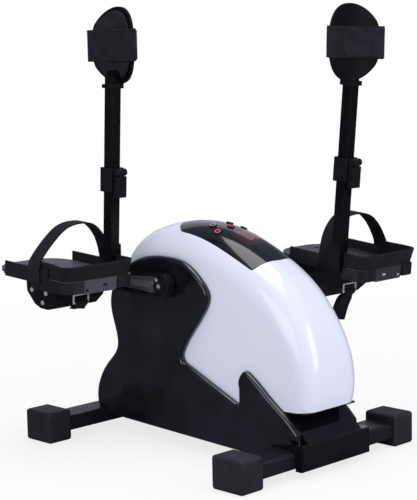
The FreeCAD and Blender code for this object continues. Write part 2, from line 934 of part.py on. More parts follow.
def pedal_spindle(side):
    tip = side_at(crank_x + side * crank_radius, crank_height)
    outer = arm_inner + arm_thick
    end = pedal_inner + block_side_gap + block_length - block_end_wall
    pin = rod(spindle_radius, tip + Y * arm_inner, tip + Y * (end - seat_fit))
    collar = rod(spindle_collar_radius, tip + Y * outer, tip + Y * (outer + spindle_collar))
    return joined([pin, collar])


right_set = {"crank_arm": crank_arm(1), "pedal_spindle": pedal_spindle(1)}
left_set = {"crank_arm": crank_arm(-1), "pedal_spindle": pedal_spindle(-1)}
for name in right_set:
    write("right_" + name, right_set[name])
    write("left_" + name, left_set[name].mirror(ORIGIN, Y))
write("crank_bolts", Part.makeCompound([crank_bolts(1), crank_bolts(-1).mirror(ORIGIN, Y)]))


# Pedals are drawn for the right foot with the spindle on the Y axis, then tilted and set on their arms
def placed(shape, side):
    shape = shape.copy()
    shape.rotate(ORIGIN, Y, right_pedal_tilt if side > 0 else left_pedal_tilt)
    if side < 0:
        shape = shape.mirror(ORIGIN, Y)
    shape.translate(side_at(crank_x + side * crank_radius, crank_height))
    return shape


def sole_prism(inset, bottom, top):
    toe = -plate_toe + inset
    heel = plate_heel - inset
    inner = pedal_inner + side_wall + side_gap + inset
    outer = pedal_outer - side_wall - side_gap - inset
    solid = box(at(toe, inner, bottom), at(heel, outer, top))
    corners = edges_along(solid, Z)
    toe_edges = [edge for edge in corners if edge.CenterOfMass.x < 0]
    heel_edges = [edge for edge in corners if edge.CenterOfMass.x > 0]
    solid = solid.makeFillet(toe_corner - inset, toe_edges)
    heel_edges = [edge for edge in edges_along(solid, Z) if edge.CenterOfMass.x > heel - side_wall]
    return solid.makeFillet(heel_corner - inset, heel_edges)


tray_bottom = tread_top - tread_thick - tray_thick
strap_slot_length = 16.0
strap_slot_width = 5.0
tread_hole_radius = 4.0


def foot_tread():
    sole = sole_prism(0, tread_top - tread_thick, tread_top)
    heel_inner = plate_heel - heel_face_thick
    lip = box(at(heel_inner, pedal_middle - heel_face_half, tread_top - tread_thick - heel_face_drop),
              at(plate_heel, pedal_middle + heel_face_half, tread_top - tread_thick / 2))
    lower = [edge for edge in edges_along(lip, X) if edge.CenterOfMass.z < tray_bottom]
    lip = lip.makeFillet(heel_face_thick, lower)
    lip = lip.common(sole_prism(0, -plate_heel, tread_top))
    slots = []
    for place in (-1, 1):
        spot = at(0, pedal_middle + place * heel_face_half / 2, tread_top)
        half = at(strap_slot_width / 2, strap_slot_length / 2, tread_thick + overrun)
        slots.append(box(spot - half + X * block_length / 3, spot + half + X * block_length / 3))
        slots.append(box(spot - half - X * block_length / 3, spot + half - X * block_length / 3))
        slots.append(rod(tread_hole_radius, spot - X * side_wall_heel - Z * tread_thick * 2,
                         spot - X * side_wall_heel + Z * tread_thick))
    return without(joined([sole, lip]), slots + [post_notch()])


def foot_plate():
    tray = sole_prism(tray_inset, tray_bottom, tread_top - tread_thick)
    lip_half = heel_face_half + side_gap
    heel_room = box(at(plate_heel - heel_face_thick - side_gap, pedal_middle - lip_half, -plate_heel),
                    at(plate_heel * 2, pedal_middle + lip_half, tread_top))
    walls = []
    for inner in (pedal_inner, pedal_outer - side_wall):
        wall = box(at(-side_wall_toe, inner, tray_bottom), at(side_wall_heel, inner + side_wall, tread_top + side_wall_rise))
        walls.append(wall)
    shelf = box(at(-side_wall_toe, pedal_inner, tray_bottom), at(side_wall_heel, pedal_outer, tread_top - tread_thick))
    rim = sole_prism(-heel_rim_thick - side_gap, tread_top - heel_rim_drop, tread_top)
    rim = rim.cut(sole_prism(-side_gap, tread_top - tread_thick, tread_top))
    rim = rim.cut(sole_prism(tray_inset, -plate_heel, tray_bottom))
    rim = rim.cut(box(at(-plate_heel * 2, 0, -plate_heel), at(heel_rim_start, overall_width, plate_heel)))
    inner_clear = box(at(0, 0, -plate_heel), at(post_ahead + post_size / 2, pedal_middle - lip_half, plate_heel))
    rim = without(rim, [heel_room, inner_clear])
    return without(joined([tray, shelf, rim] + walls), [heel_room, post_notch()])


# Pedal block: the bearing housing under the plate, an outline of real sizes from the spindle
block_points = [
    (-39.0, tray_bottom), (-36.0, -8.0), (-16.0, -26.0), (-2.0, -31.0), (18.0, -31.0), (36.0, -14.0), (48.0, tray_bottom),
]
block_round = 4.0


def pedal_block():
    start = pedal_inner + block_side_gap
    end = start + block_length
    body = swept_y(outline([side_at(x, z) for x, z in block_points]), start, end)
    lower = [edge for edge in edges_along(body, Y) if edge.CenterOfMass.z < 0]
    body = body.makeFillet(block_round, lower)
    bore = rod(spindle_radius + running_fit, ORIGIN, Y * (end - block_end_wall))
    return body.cut(bore)


screw_spots = [(-22.0, -4.0), (5.0, -21.0), (13.0, -5.0)]


def pedal_screws():
    end = pedal_inner + block_side_gap + block_length
    heads = []
    for x, z in screw_spots:
        head = rod(screw_radius, at(x, end, z), at(x, end + screw_head, z))
        recess = rod(screw_radius / 2, at(x, end + screw_head / 2, z), at(x, end + screw_head * 2, z))
        heads.append(head.cut(recess))
    return Part.makeCompound(heads)


# Straps: webbing over the instep, a band behind the heel, and a hanging tail through a steel ring
strap_arch = [
    (0.0, 0.0), (6.0, 18.0), (24.0, 40.0), (48.0, 56.5), (78.0, 64.0), (108.0, 57.0), (130.0, 34.0), (140.0, 0.0),
]


def arch_face(grow, drop):
    base = tread_top + side_wall_rise
    middle = pedal_width / 2
    points = []
    for across, rise in strap_arch:
        side = (across - middle) / middle
        points.append(at(0, pedal_outer - across - side * grow, base + rise + grow * (1 - abs(side))))
    low_start = points[0] - Z * drop
    low_end = points[-1] - Z * drop
    top = curve(points)
    return face_of([top, line(points[0], low_start), line(low_start, low_end), line(low_end, points[-1])])


def instep_strap():
    drop = tread_top + side_wall_rise - tray_bottom
    outer = arch_face(strap_gap + strap_thick, drop)
    inner = arch_face(strap_gap, drop + overrun)
    arch = outer.extrude(X * strap_width).cut(inner.extrude(X * strap_width))
    arch.translate(X * (strap_middle - strap_width / 2))
    return arch


def strap_tail(length):
    inner = ring_wire + strap_gap
    outer = inner + strap_thick
    eye = rod(outer, ORIGIN, Y * tail_width).cut(rod(inner, ORIGIN, Y * tail_width))
    strip = box(at(-outer, 0, -length), at(-inner, tail_width, 0))
    strip.rotate(ORIGIN, Y, tail_lean)
    tail = joined([eye, strip])
    tail.translate(at(ring_ahead, pedal_middle - ring_inward - tail_width / 2, ring_height - ring_drop))
    return tail


def strap_ring():
    half = ring_width / 2
    centre = at(ring_ahead, pedal_middle - ring_inward, ring_height)
    low = centre - Z * ring_drop
    bars = [
        rod(ring_wire, centre - Y * half, centre + Y * half),
        rod(ring_wire, low - Y * half, low + Y * half),
        rod(ring_wire, centre - Y * half, low - Y * half),
        rod(ring_wire, centre + Y * half, low + Y * half),
    ]
    corners = [Part.makeSphere(ring_wire, spot + Y * side * half) for spot in (centre, low) for side in (-1, 1)]
    return joined(bars + corners)


def band_form(inset):
    inner = pedal_inner + side_wall + side_gap + inset
    outer = pedal_outer - side_wall - side_gap - inset
    solid = box(at(band_start - inset * 2, inner, tread_top + strap_gap),
                at(plate_heel - inset, outer, tread_top + strap_gap + band_height))
    heel = [edge for edge in edges_along(solid, Z) if edge.CenterOfMass.x > band_start]
    return solid.makeFillet(heel_corner - inset, heel)


def heel_band():
    post_half = post_size / 2 + side_gap
    clear = box(at(0, 0, 0), at(post_ahead + post_half, post_y + post_half, plate_heel))
    return without(band_form(0), [band_form(band_thick), clear])


# Leg posts: a lower tube on the pedal and an upper tube that slides over it
def square_space(half, low, high):
    centre = at(post_ahead, post_y, 0)
    return box(centre - at(half, half, -low), centre + at(half, half, high))


def square_tube(size, wall, low, high, corner):
    outer = rounded_along(square_space(size / 2, low, high), Z, corner)
    inner = square_space(size / 2 - wall, low - overrun, high + overrun)
    return outer.cut(rounded_along(inner, Z, corner - wall / 2))


def post_notch():
    return square_space(post_size / 2 + post_fit, -plate_heel, plate_heel)


def lower_post():
    tube = square_tube(post_size, post_wall, tray_bottom, post_seam, post_corner)
    half = post_size / 2
    foot = [side_at(post_ahead - gusset_toe, tray_bottom), side_at(post_ahead + gusset_heel, tray_bottom)]
    top = [side_at(post_ahead + half, tray_bottom + gusset_rise), side_at(post_ahead - half, tray_bottom + gusset_rise)]
    inner = pedal_inner - gusset_stand - gusset_thick
    gusset = swept_y(outline(foot + top), inner, inner + gusset_thick)
    room = square_space(half - post_wall, tray_bottom, post_seam)
    return joined([tube, gusset]).cut(room)


cuff_bottom = cuff_height - cuff_half_height


def upper_post():
    slider_size = post_size - 2 * post_wall - 2 * post_fit
    top = cuff_bottom + cuff_socket / 2
    outer = rounded_along(square_space(post_size / 2, post_seam + side_gap, top), Z, post_corner)
    slider = rounded_along(square_space(slider_size / 2, slider_bottom, top), Z, post_corner / 2)
    room = square_space(slider_size / 2 - slider_wall, slider_bottom - overrun, top + overrun)
    return joined([outer, slider]).cut(rounded_along(room, Z, post_corner / 2))


def post_collar():
    centre = at(post_ahead, post_y, 0)
    half = at(collar_half, collar_half, 0)
    block = rounded_along(box(centre - half + Z * collar_bottom, centre + half + Z * (collar_bottom + collar_height)), Z, post_corner)
    bore = square_space(post_size / 2 + seat_fit, collar_bottom - overrun, collar_bottom + collar_height + overrun)
    bore = rounded_along(bore, Z, post_corner)
    ears = []
    pin = lever_pin()
    for side in (-1, 1):
        inner = lever_half / 2 + lever_gap
        outer = lever_half
        y_low = centre.y + min(side * inner, side * outer)
        y_high = centre.y + max(side * inner, side * outer)
        ear = rod(lever_pin_radius + lever_neck, at(pin.x, y_low, pin.z), at(pin.x, y_high, pin.z))
        bridge = box(at(post_ahead + collar_half - seat_fit, y_low, pin.z - lever_pin_radius), at(pin.x, y_high, pin.z + lever_pin_radius))
        ears.append(ear.fuse(bridge))
    pin_rod = rod(lever_pin_radius, pin - Y * lever_half, pin + Y * lever_half)
    return joined([block.cut(bore)] + ears + [pin_rod])


def lever_pin():
    return at(post_ahead + collar_half + lever_pin_radius + lever_neck + lever_gap,
              post_y, collar_bottom + collar_height - lever_pin_drop)


def clamp_lever():
    pin = lever_pin()
    inner = post_ahead + collar_half + lever_gap
    reach = at(0, lever_half, 0)
    tongue = box(at(inner, pin.y - lever_half / 2, pin.z - lever_length / 2), at(inner + lever_thick, pin.y + lever_half / 2, pin.z))
    eye = rod(lever_pin_radius + lever_neck - lever_gap, pin - Y * lever_half / 2, pin + Y * lever_half / 2)
    top = pin.z - lever_pin_radius - lever_neck - lever_gap * 2
    grip = box(at(inner, pin.y - reach.y, pin.z - lever_length), at(inner + lever_thick, pin.y + reach.y, top))
    grip = grip.makeFillet(post_corner, edges_along(grip, Z) + edges_along(grip, Y))
    hole = rod(lever_pin_radius + running_fit, pin - Y * lever_half * 2, pin + Y * lever_half * 2)
    return joined([tongue, eye, grip]).cut(hole)


# Calf supports: a gutter-shaped shell with a pad, and a wide strap drawn round both
def cuff_frame(shape):
    shape = shape.copy()
    shape.rotate(ORIGIN, Z, cuff_turn)
    shape.rotate(ORIGIN, Y, -cuff_level)
    shape.translate(at(post_ahead, post_y, cuff_height))
    return shape


# What holds the post stays upright while the cuff round it is turned and tilted
def kept_upright(shape):
    shape.rotate(ORIGIN, Y, cuff_level)
    shape.rotate(ORIGIN, Z, -cuff_turn)
    return shape


def oval_prism(half_width, half_height, start, end):
    ring = Part.Ellipse(ORIGIN, half_height, half_width).toShape()
    ring.rotate(ORIGIN, Y, -90)
    ring.rotate(ORIGIN, Z, 90)
    return swept_y(Part.Face(Part.Wire(ring)), start, end)


def upright_cylinder(radius, centre_y, half_height):
    return Part.makeCylinder(radius, 2 * half_height, at(0, centre_y, -half_height), Z)


cuff_axis = cuff_radius - cuff_set - cuff_thick / 2
cuff_rim = cuff_axis - math.sqrt(cuff_radius ** 2 - cuff_half_width ** 2)


def calf_shell():
    oval = oval_prism(cuff_half_width, cuff_half_height, -cuff_radius, cuff_rim)
    gutter = upright_cylinder(cuff_radius, cuff_axis, cuff_half_height).cut(
        upright_cylinder(cuff_radius - cuff_thick, cuff_axis, cuff_half_height * 2))
    shell = oval.common(gutter)
    size = post_size / 2 + cuff_thick
    base = at(0, 0, -cuff_half_height - cuff_socket / 4)
    socket = box(base - at(size, size, 0), base + at(size, size, cuff_socket))
    socket = kept_upright(rounded_along(socket, Z, post_corner + cuff_thick))
    room = post_size / 2 + seat_fit
    bore = kept_upright(box(base - at(room, room, overrun), base + at(room, room, cuff_socket * 3 / 4 + seat_fit)))
    core = upright_cylinder(cuff_radius - cuff_thick, cuff_axis, cuff_half_height * 2)
    socket = socket.cut(core.common(box(at(-size * 2, -size * 2, -cuff_half_height), at(size * 2, size * 2, cuff_half_height))))
    return joined([shell, socket]).cut(bore)


pad_back_radius = cuff_radius - cuff_thick - pad_gap
pad_half_width = cuff_half_width - pad_inset
pad_middle_y = cuff_axis - pad_back_radius + pad_thick
pad_edge_y = cuff_axis - math.sqrt(pad_back_radius ** 2 - pad_half_width ** 2) + pad_edge
pad_rise = pad_edge_y - pad_middle_y
pad_front_radius = (pad_half_width ** 2 + pad_rise ** 2) / (2 * pad_rise)
pad_bottom_cut = cuff_socket


def calf_pad():
    oval = oval_prism(pad_half_width, cuff_half_height - pad_inset, -cuff_radius, cuff_radius)
    back = upright_cylinder(pad_back_radius, cuff_axis, cuff_half_height)
    front = upright_cylinder(pad_front_radius, pad_middle_y + pad_front_radius, cuff_half_height * 2)
    pad = oval.common(back).cut(front)
    size = post_size / 2 + cuff_thick + pad_gap
    room_top = -cuff_half_height + cuff_socket * 3 / 4 + pad_gap
    room = kept_upright(box(at(-size, -cuff_radius, -cuff_half_height * 2), at(size, size, room_top)))
    return pad.cut(room)


def strap_form(extra):
    radius = cuff_radius + calf_strap_slack + extra
    front = pad_edge_y + pad_gap + extra
    half = calf_strap_width / 2
    side = cuff_half_width + calf_strap_slack + extra
    drum = upright_cylinder(radius, cuff_axis, half)
    block = box(at(-side, -radius * 2, -half), at(side, front, half))
    form = drum.common(block)
    corners = [edge for edge in edges_along(form, Z) if edge.CenterOfMass.y > front - calf_strap_thick]
    return form.makeFillet(calf_strap_thick + extra, corners)


def calf_strap():
    return strap_form(calf_strap_thick).cut(strap_form(0))


pedal_pieces = {
    "pedal_block": pedal_block(),
    "foot_plate": foot_plate(),
    "foot_tread": foot_tread(),
    "pedal_screws": pedal_screws(),
    "heel_band": heel_band(),
    "strap_ring": strap_ring(),
    "lower_post": lower_post(),
    "upper_post": upper_post(),
    "post_collar": post_collar(),
    "clamp_lever": clamp_lever(),
    "calf_shell": cuff_frame(calf_shell()),
    "calf_pad": cuff_frame(calf_pad()),
    "calf_strap": cuff_frame(calf_strap()),
}
arch = instep_strap()
for side, hand, tail in ((1, "right_", right_tail), (-1, "left_", left_tail)):
    for name, piece in pedal_pieces.items():
        if name in ("post_collar", "clamp_lever"):
            piece = piece.copy()
            piece.translate(Z * side * collar_offset)
        write(hand + name, placed(piece, side))
    write(hand + "instep_strap", placed(Part.makeCompound([arch, strap_tail(tail)]), side))
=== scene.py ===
import bpy, bmesh, math
from mathutils import Vector, Matrix


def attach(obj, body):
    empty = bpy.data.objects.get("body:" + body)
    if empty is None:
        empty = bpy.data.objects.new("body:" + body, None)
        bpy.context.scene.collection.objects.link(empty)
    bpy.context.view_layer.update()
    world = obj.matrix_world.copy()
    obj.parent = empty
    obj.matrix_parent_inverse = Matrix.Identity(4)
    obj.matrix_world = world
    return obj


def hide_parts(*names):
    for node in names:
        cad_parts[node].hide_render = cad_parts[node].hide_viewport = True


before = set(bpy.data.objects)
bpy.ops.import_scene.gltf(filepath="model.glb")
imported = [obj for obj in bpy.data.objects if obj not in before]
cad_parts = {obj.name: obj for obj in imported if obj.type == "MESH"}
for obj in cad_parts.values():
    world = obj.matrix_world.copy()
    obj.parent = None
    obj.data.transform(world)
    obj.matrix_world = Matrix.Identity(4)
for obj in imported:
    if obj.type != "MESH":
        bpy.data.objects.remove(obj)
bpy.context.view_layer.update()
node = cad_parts

# The studio: a pale floor that runs to white, four soft lamps and a camera that looks slightly
# down on the trainer, from the corner between the user's side and the left pedal.
aim, tilt, roll = math.radians(45.39), math.radians(7.66), math.radians(-1.28)
stand = Vector((1.65925, -1.651, 0.628))
focal_mm, film_mm = 106.34, 36
far_end = 60
back = Vector((math.sin(aim) * math.cos(tilt), -math.cos(aim) * math.cos(tilt), math.sin(tilt)))
level = Vector((math.cos(aim), math.sin(aim), 0))
raised = back.cross(level)
right = level * math.cos(roll) + raised * math.sin(roll)
up = raised * math.cos(roll) - level * math.sin(roll)
lens = bpy.data.cameras.new("photo_camera")
lens.lens = focal_mm
lens.sensor_width = film_mm
lens.clip_end = far_end
camera = bpy.data.objects.new("photo_camera", lens)
camera.matrix_world = Matrix.Translation(stand) @ Matrix((right, up, back)).transposed().to_4x4()
bpy.context.collection.objects.link(camera)
bpy.context.scene.camera = camera
bpy.context.scene.view_settings.view_transform = "Standard"


def new_material(name):
    """A material with its tree, its shader and its output."""
    made = bpy.data.materials.new(name)
    made.use_nodes = True
    tree = made.node_tree
    return made, tree, tree.nodes["Principled BSDF"], tree.nodes["Material Output"]


def link(tree, a, b):
    tree.links.new(a, b)


def add_node(tree, kind, operation=None, **inputs):
    """A node with the values of its inputs, where From_Min stands for the input From Min."""
    made = tree.nodes.new(kind)
    if operation:
        made.operation = operation
    for name, value in inputs.items():
        made.inputs[name.replace("_", " ")].default_value = value
    return made


def calc(tree, operation, *values):
    """The result of a maths node whose values are numbers or the outputs of other nodes."""
    made = tree.nodes.new("ShaderNodeMath")
    made.operation = operation
    for socket, value in zip(made.inputs, values):
        if isinstance(value, (int, float)):
            socket.default_value = value
        else:
            link(tree, value, socket)
    return made.outputs[0]


def mixed(tree, share, first, second):
    """The first shader where the share is 0 and the second where it is 1."""
    made = tree.nodes.new("ShaderNodeMixShader")
    for socket, source in zip(made.inputs, (share, first, second)):
        link(tree, source, socket)
    return made.outputs[0]


floor_side, floor_level = 14, -0.0006
floor_paint, tree, shader, output = new_material("floor_paint")
shader.inputs["Base Color"].default_value = (0.86, 0.86, 0.87, 1)
shader.inputs["Roughness"].default_value = 0.7
shader.inputs["Specular IOR Level"].default_value = 0.1
rays = tree.nodes.new("ShaderNodeLightPath")
glow = add_node(tree, "ShaderNodeEmission", Color=(1, 1, 1, 1))
mirrored = add_node(tree, "ShaderNodeBsdfDiffuse", Color=(0.07, 0.07, 0.08, 1))
where = tree.nodes.new("ShaderNodeTexCoord")
away = add_node(tree, "ShaderNodeVectorMath", "LENGTH")
fade = add_node(tree, "ShaderNodeMapRange", From_Min=0.35, From_Max=1.6, To_Min=0.78, To_Max=1.0)
link(tree, where.outputs["Object"], away.inputs[0])
link(tree, away.outputs["Value"], fade.inputs["Value"])
whiteness = calc(tree, "MULTIPLY", rays.outputs["Is Camera Ray"], fade.outputs["Result"])
paint = mixed(tree, rays.outputs["Is Glossy Ray"], shader.outputs["BSDF"], mirrored.outputs["BSDF"])
link(tree, mixed(tree, whiteness, paint, glow.outputs[0]), output.inputs["Surface"])
bpy.ops.mesh.primitive_plane_add(size=floor_side, location=(0, 0, floor_level))
floor = bpy.context.object
floor.name = "studio_floor"
floor.data.materials.append(floor_paint)

world = bpy.data.worlds.new("studio_air")
world.use_nodes = True
bpy.context.scene.world = world
tree = world.node_tree
daylight = tree.nodes["Background"]
daylight.inputs["Color"].default_value = (0.93, 0.95, 1.0, 1)
daylight.inputs["Strength"].default_value = 0.62
white = add_node(tree, "ShaderNodeBackground", Color=(1, 1, 1, 1))
dusk = add_node(tree, "ShaderNodeBackground", Color=(0.64, 0.68, 1.0, 1), Strength=0.21)
rays = tree.nodes.new("ShaderNodeLightPath")
air = mixed(tree, rays.outputs["Is Glossy Ray"], daylight.outputs[0], dusk.outputs[0])
air = mixed(tree, rays.outputs["Is Camera Ray"], air, white.outputs[0])
link(tree, air, tree.nodes["World Output"].inputs["Surface"])


def softbox(name, place, size, power):
    """A rectangular lamp that faces the middle of the housing."""
    lamp = bpy.data.lights.new(name, "AREA")
    lamp.shape = "RECTANGLE"
    lamp.size, lamp.size_y = size
    lamp.energy = power
    box = bpy.data.objects.new(name, lamp)
    box.location = place
    box.rotation_euler = (Vector(place) - Vector((0, 0, 0.25))).to_track_quat("Z", "Y").to_euler()
    bpy.context.collection.objects.link(box)


softbox("overhead_box", (0.1, -0.2, 2.4), (1.4, 1.6), 23)
softbox("front_box", (2.4, 0.6, 1.1), (1.3, 1.6), 20)
softbox("side_box", (0.2, -2.6, 1.2), (1.8, 1.4), 15)
softbox("rear_box", (-2.2, 1.6, 1.5), (2.4, 2.0), 6)


# The frame: two stabilisers and a base of rectangular steel tube, with a stand for the axle on
# each side, powder coated satin black. The coat is a fine orange peel with dust in it.
def spot_noise(tree, scale, detail=3, rough=0.55):
    """Noise on Object coordinates."""
    where = tree.nodes.new("ShaderNodeTexCoord")
    noise = add_node(tree, "ShaderNodeTexNoise", Scale=scale, Detail=detail, Roughness=rough)
    link(tree, where.outputs["Object"], noise.inputs["Vector"])
    return noise


def ramp(tree, source, low, high, start=0.35, end=0.65):
    """A colour that runs from low to high as the source runs from start to end."""
    tones = tree.nodes.new("ShaderNodeValToRGB")
    for stop, place, colour in zip(tones.color_ramp.elements, (start, end), (low, high)):
        stop.position = place
        stop.color = (*colour, 1)
    link(tree, source, tones.inputs["Fac"])
    return tones.outputs["Color"]


def grained(name, colour, roughness, spread=0.12, cell=0.0012, depth=0.00002, patch=0.05,
            metallic=0.0, coat=0.0, specular=0.3):
    """One finish: colour that drifts over patches, a fine grain in the bump, and worn roughness."""
    made, tree, shader, output = new_material(name)
    patches = spot_noise(tree, 1 / patch, 4, 0.6)
    dark = tuple(c * (1 - spread) for c in colour)
    pale = tuple(min(1, c * (1 + spread) + 0.002) for c in colour)
    link(tree, ramp(tree, patches.outputs["Fac"], dark, pale), shader.inputs["Base Color"])
    wear = spot_noise(tree, 3.1 / patch, 6, 0.7)
    shine = add_node(tree, "ShaderNodeMapRange", From_Min=0.3, From_Max=0.7,
                     To_Min=roughness * 0.82, To_Max=min(1, roughness * 1.18))
    link(tree, wear.outputs["Fac"], shine.inputs["Value"])
    link(tree, shine.outputs["Result"], shader.inputs["Roughness"])
    grain = spot_noise(tree, 1 / cell, 2, 0.5)
    bump = add_node(tree, "ShaderNodeBump", Distance=depth, Strength=0.8)
    link(tree, grain.outputs["Fac"], bump.inputs["Height"])
    link(tree, bump.outputs["Normal"], shader.inputs["Normal"])
    shader.inputs["Metallic"].default_value = metallic
    shader.inputs["Specular IOR Level"].default_value = specular
    shader.inputs["Coat Weight"].default_value = coat
    shader.inputs["Coat Roughness"].default_value = 0.06
    return made


def dress(material, *names):
    """Puts the material on CAD nodes."""
    for name in names:
        if not node[name].material_slots:
            node[name].data.materials.append(material)
        for spot in node[name].material_slots:
            spot.material = material


powder_coat = grained("powder_coat", (0.0098, 0.0098, 0.0155), 0.36, cell=0.0009, depth=0.00004)
dress(powder_coat, "front_stabiliser", "rear_stabiliser", "base_frame")
dress(powder_coat, "left_axle_stand", "right_axle_stand")

# The four rubber feet: thick moulded caps pushed over the bar ends, matt and slightly greyed,
# with the fine pebble of the mould on every face.
cap_rubber = grained("cap_rubber", (0.0165, 0.0165, 0.0240), 0.55, spread=0.16, cell=0.0011,
                     depth=0.00006, patch=0.03)
dress(cap_rubber, "foot_caps")

# The drive inside the housing: steel axle and bearings, a spoked pulley, a ribbed belt,
# a motor can and a printed board. It is only seen in the exploded part.
bright_steel = grained("bright_steel", (0.62, 0.62, 0.64), 0.26, spread=0.06, cell=0.0006,
                       depth=0.000015, metallic=1.0)
dress(bright_steel, "crank_axle", "axle_bearings", "motor_pulley")
dress(bright_steel, "left_pedal_spindle", "right_pedal_spindle")
pulley_plastic = grained("pulley_plastic", (0.05, 0.05, 0.055), 0.45, cell=0.0014)
dress(pulley_plastic, "crank_pulley")
belt_rubber = grained("belt_rubber", (0.018, 0.018, 0.018), 0.7, cell=0.0008, depth=0.00008)
dress(belt_rubber, "drive_belt")
motor_can = grained("motor_can", (0.50, 0.51, 0.53), 0.38, spread=0.08, cell=0.0010, metallic=1.0)
dress(motor_can, "motor_body")
board_green = grained("board_green", (0.02, 0.15, 0.06), 0.4, spread=0.25, cell=0.003,
                      depth=0.0001, patch=0.008)
dress(board_green, "control_board")

# The upper shell: one white moulding with a deep wet gloss and the faint waviness of a
# large thin part, a little bluer where it curves away.
shell_white = grained("shell_white", (0.735, 0.75, 0.885), 0.24, spread=0.012, cell=0.02,
                      depth=0.00012, patch=0.16, coat=0.7)
dress(shell_white, "upper_shell")

# The side and rear covers: piano black mouldings, so glossy that the room shows in them,
# with hairline polishing marks.
piano_black = grained("piano_black", (0.0078, 0.0078, 0.0128), 0.10, spread=0.45, cell=0.03,
                      depth=0.00010, patch=0.10, coat=1.0)
dress(piano_black, "left_side_cover", "right_side_cover", "rear_cover")

# The front base cover: the low sill under the shell's nose, moulded in the same black, with a
# thinner gloss, and painted darker as painted shade under the nose.
# The sill's darker colour is painted shade under the overhanging nose.
sill_black_painted_shade = grained("sill_black_painted_shade", (0.0030, 0.0030, 0.0048), 0.14, spread=0.3, cell=0.03,
                     depth=0.00010, patch=0.08, coat=0.45, specular=0.2)
dress(sill_black_painted_shade, "front_base_cover")

# The console: a thin black skin let into the crown, with a clear window over the display.
# The display's module and the power inlet are plain black mouldings behind their openings.
console_black = grained("console_black", (0.0055, 0.0055, 0.0075), 0.20, spread=0.15, cell=0.02,
                        depth=0.00005, coat=0.9, specular=0.2)
dress(console_black, "control_panel")
window_glass, tree, shader, output = new_material("window_glass")
shader.inputs["Base Color"].default_value = (0.03, 0.012, 0.014, 1)
shader.inputs["Roughness"].default_value = 0.05
shader.inputs["Coat Weight"].default_value = 1.0
dress(window_glass, "display_window")
module_black = grained("module_black", (0.02, 0.02, 0.022), 0.5)
dress(module_black, "display_module", "power_inlet")

# The display's digits: two readings in red segments that glow unevenly behind the window.
# Each segment is a flat bar with pointed ends, laid on the glass a fifth of a millimetre up.
digit_red, tree, shader, output = new_material("digit_red")
shader.inputs["Base Color"].default_value = (0.25, 0.01, 0.015, 1)
shader.inputs["Emission Strength"].default_value = 0.75
uneven = spot_noise(tree, 900, 2)
glowing = ramp(tree, uneven.outputs["Fac"], (0.30, 0.02, 0.05), (0.55, 0.08, 0.12))
link(tree, glowing, shader.inputs["Emission Color"])


def cast(target, start, way, missed):
    """Where a line from start meets the target, or the point a given way along if it misses."""
    found, spot = target.ray_cast(start, way.normalized())[:2]
    return spot if found else start + way * missed


def face_out(mesh, corners, outward):
    """A face on these corners that looks outward."""
    face = mesh.faces.new(corners)
    face.normal_update()
    if face.normal.dot(outward) < 0:
        face.normal_flip()


def as_piece(name, mesh, material):
    """The finished mesh as an object in one material."""
    data = bpy.data.meshes.new(name)
    mesh.to_mesh(data)
    mesh.free()
    data.materials.clear()
    data.materials.append(material)
    piece = bpy.data.objects.new(name, data)
    bpy.context.collection.objects.link(piece)
    return piece


segments = {"a": ((-1, 2), (1, 2)), "b": ((1, 2), (1, 0)), "c": ((1, 0), (1, -2)), "d": ((-1, -2), (1, -2)),
            "e": ((-1, 0), (-1, -2)), "f": ((-1, 2), (-1, 0)), "g": ((-1, 0), (1, 0))}
lit = {"0": "abcdef", "1": "bc", "2": "abged", "3": "abgcd", "5": "afgcd"}
digit_pitch, stroke, point = 1.75, 0.13, 0.12
film_lift, film_thick = 0.00018, 0.0001
glass = node["display_window"]
top_faces = [f for f in glass.data.polygons if f.normal.z > 0.6]
centre = sum((f.center * f.area for f in top_faces), Vector()) / sum(f.area for f in top_faces)
facing = sum((f.normal * f.area for f in top_faces), Vector()).normalized()
reading = Vector((0, 1, 0))
upward = facing.cross(reading).normalized()
mesh = bmesh.new()
for text, row, high in (("30", 0.0085, 0.0052), ("125", -0.0080, 0.0042)):
    for order, digit in enumerate(text):
        middle = (order - (len(text) - 1) / 2) * high * digit_pitch
        for name in lit[digit]:
            a, b = (Vector((middle + x * high * 0.5, row + y * high * 0.5)) for x, y in segments[name])
            run = (b - a).normalized()
            out = Vector((-run.y, run.x)) * high * stroke
            tip = run * high * point
            a, b = a + run * high * stroke, b - run * high * stroke
            rim = [a, a + out + tip, b + out - tip, b, b - out - tip, a - out + tip]
            starts = [centre + reading * q.x + upward * q.y + facing * 0.02 for q in rim]
            laid = [cast(glass, start, -facing, 0.02) + facing * film_lift for start in starts]
            face_out(mesh, [mesh.verts.new(q) for q in laid], facing)
bmesh.ops.solidify(mesh, geom=mesh.faces[:], thickness=film_thick)
digits = as_piece("display_digits", mesh, digit_red)
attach(digits, "machine")

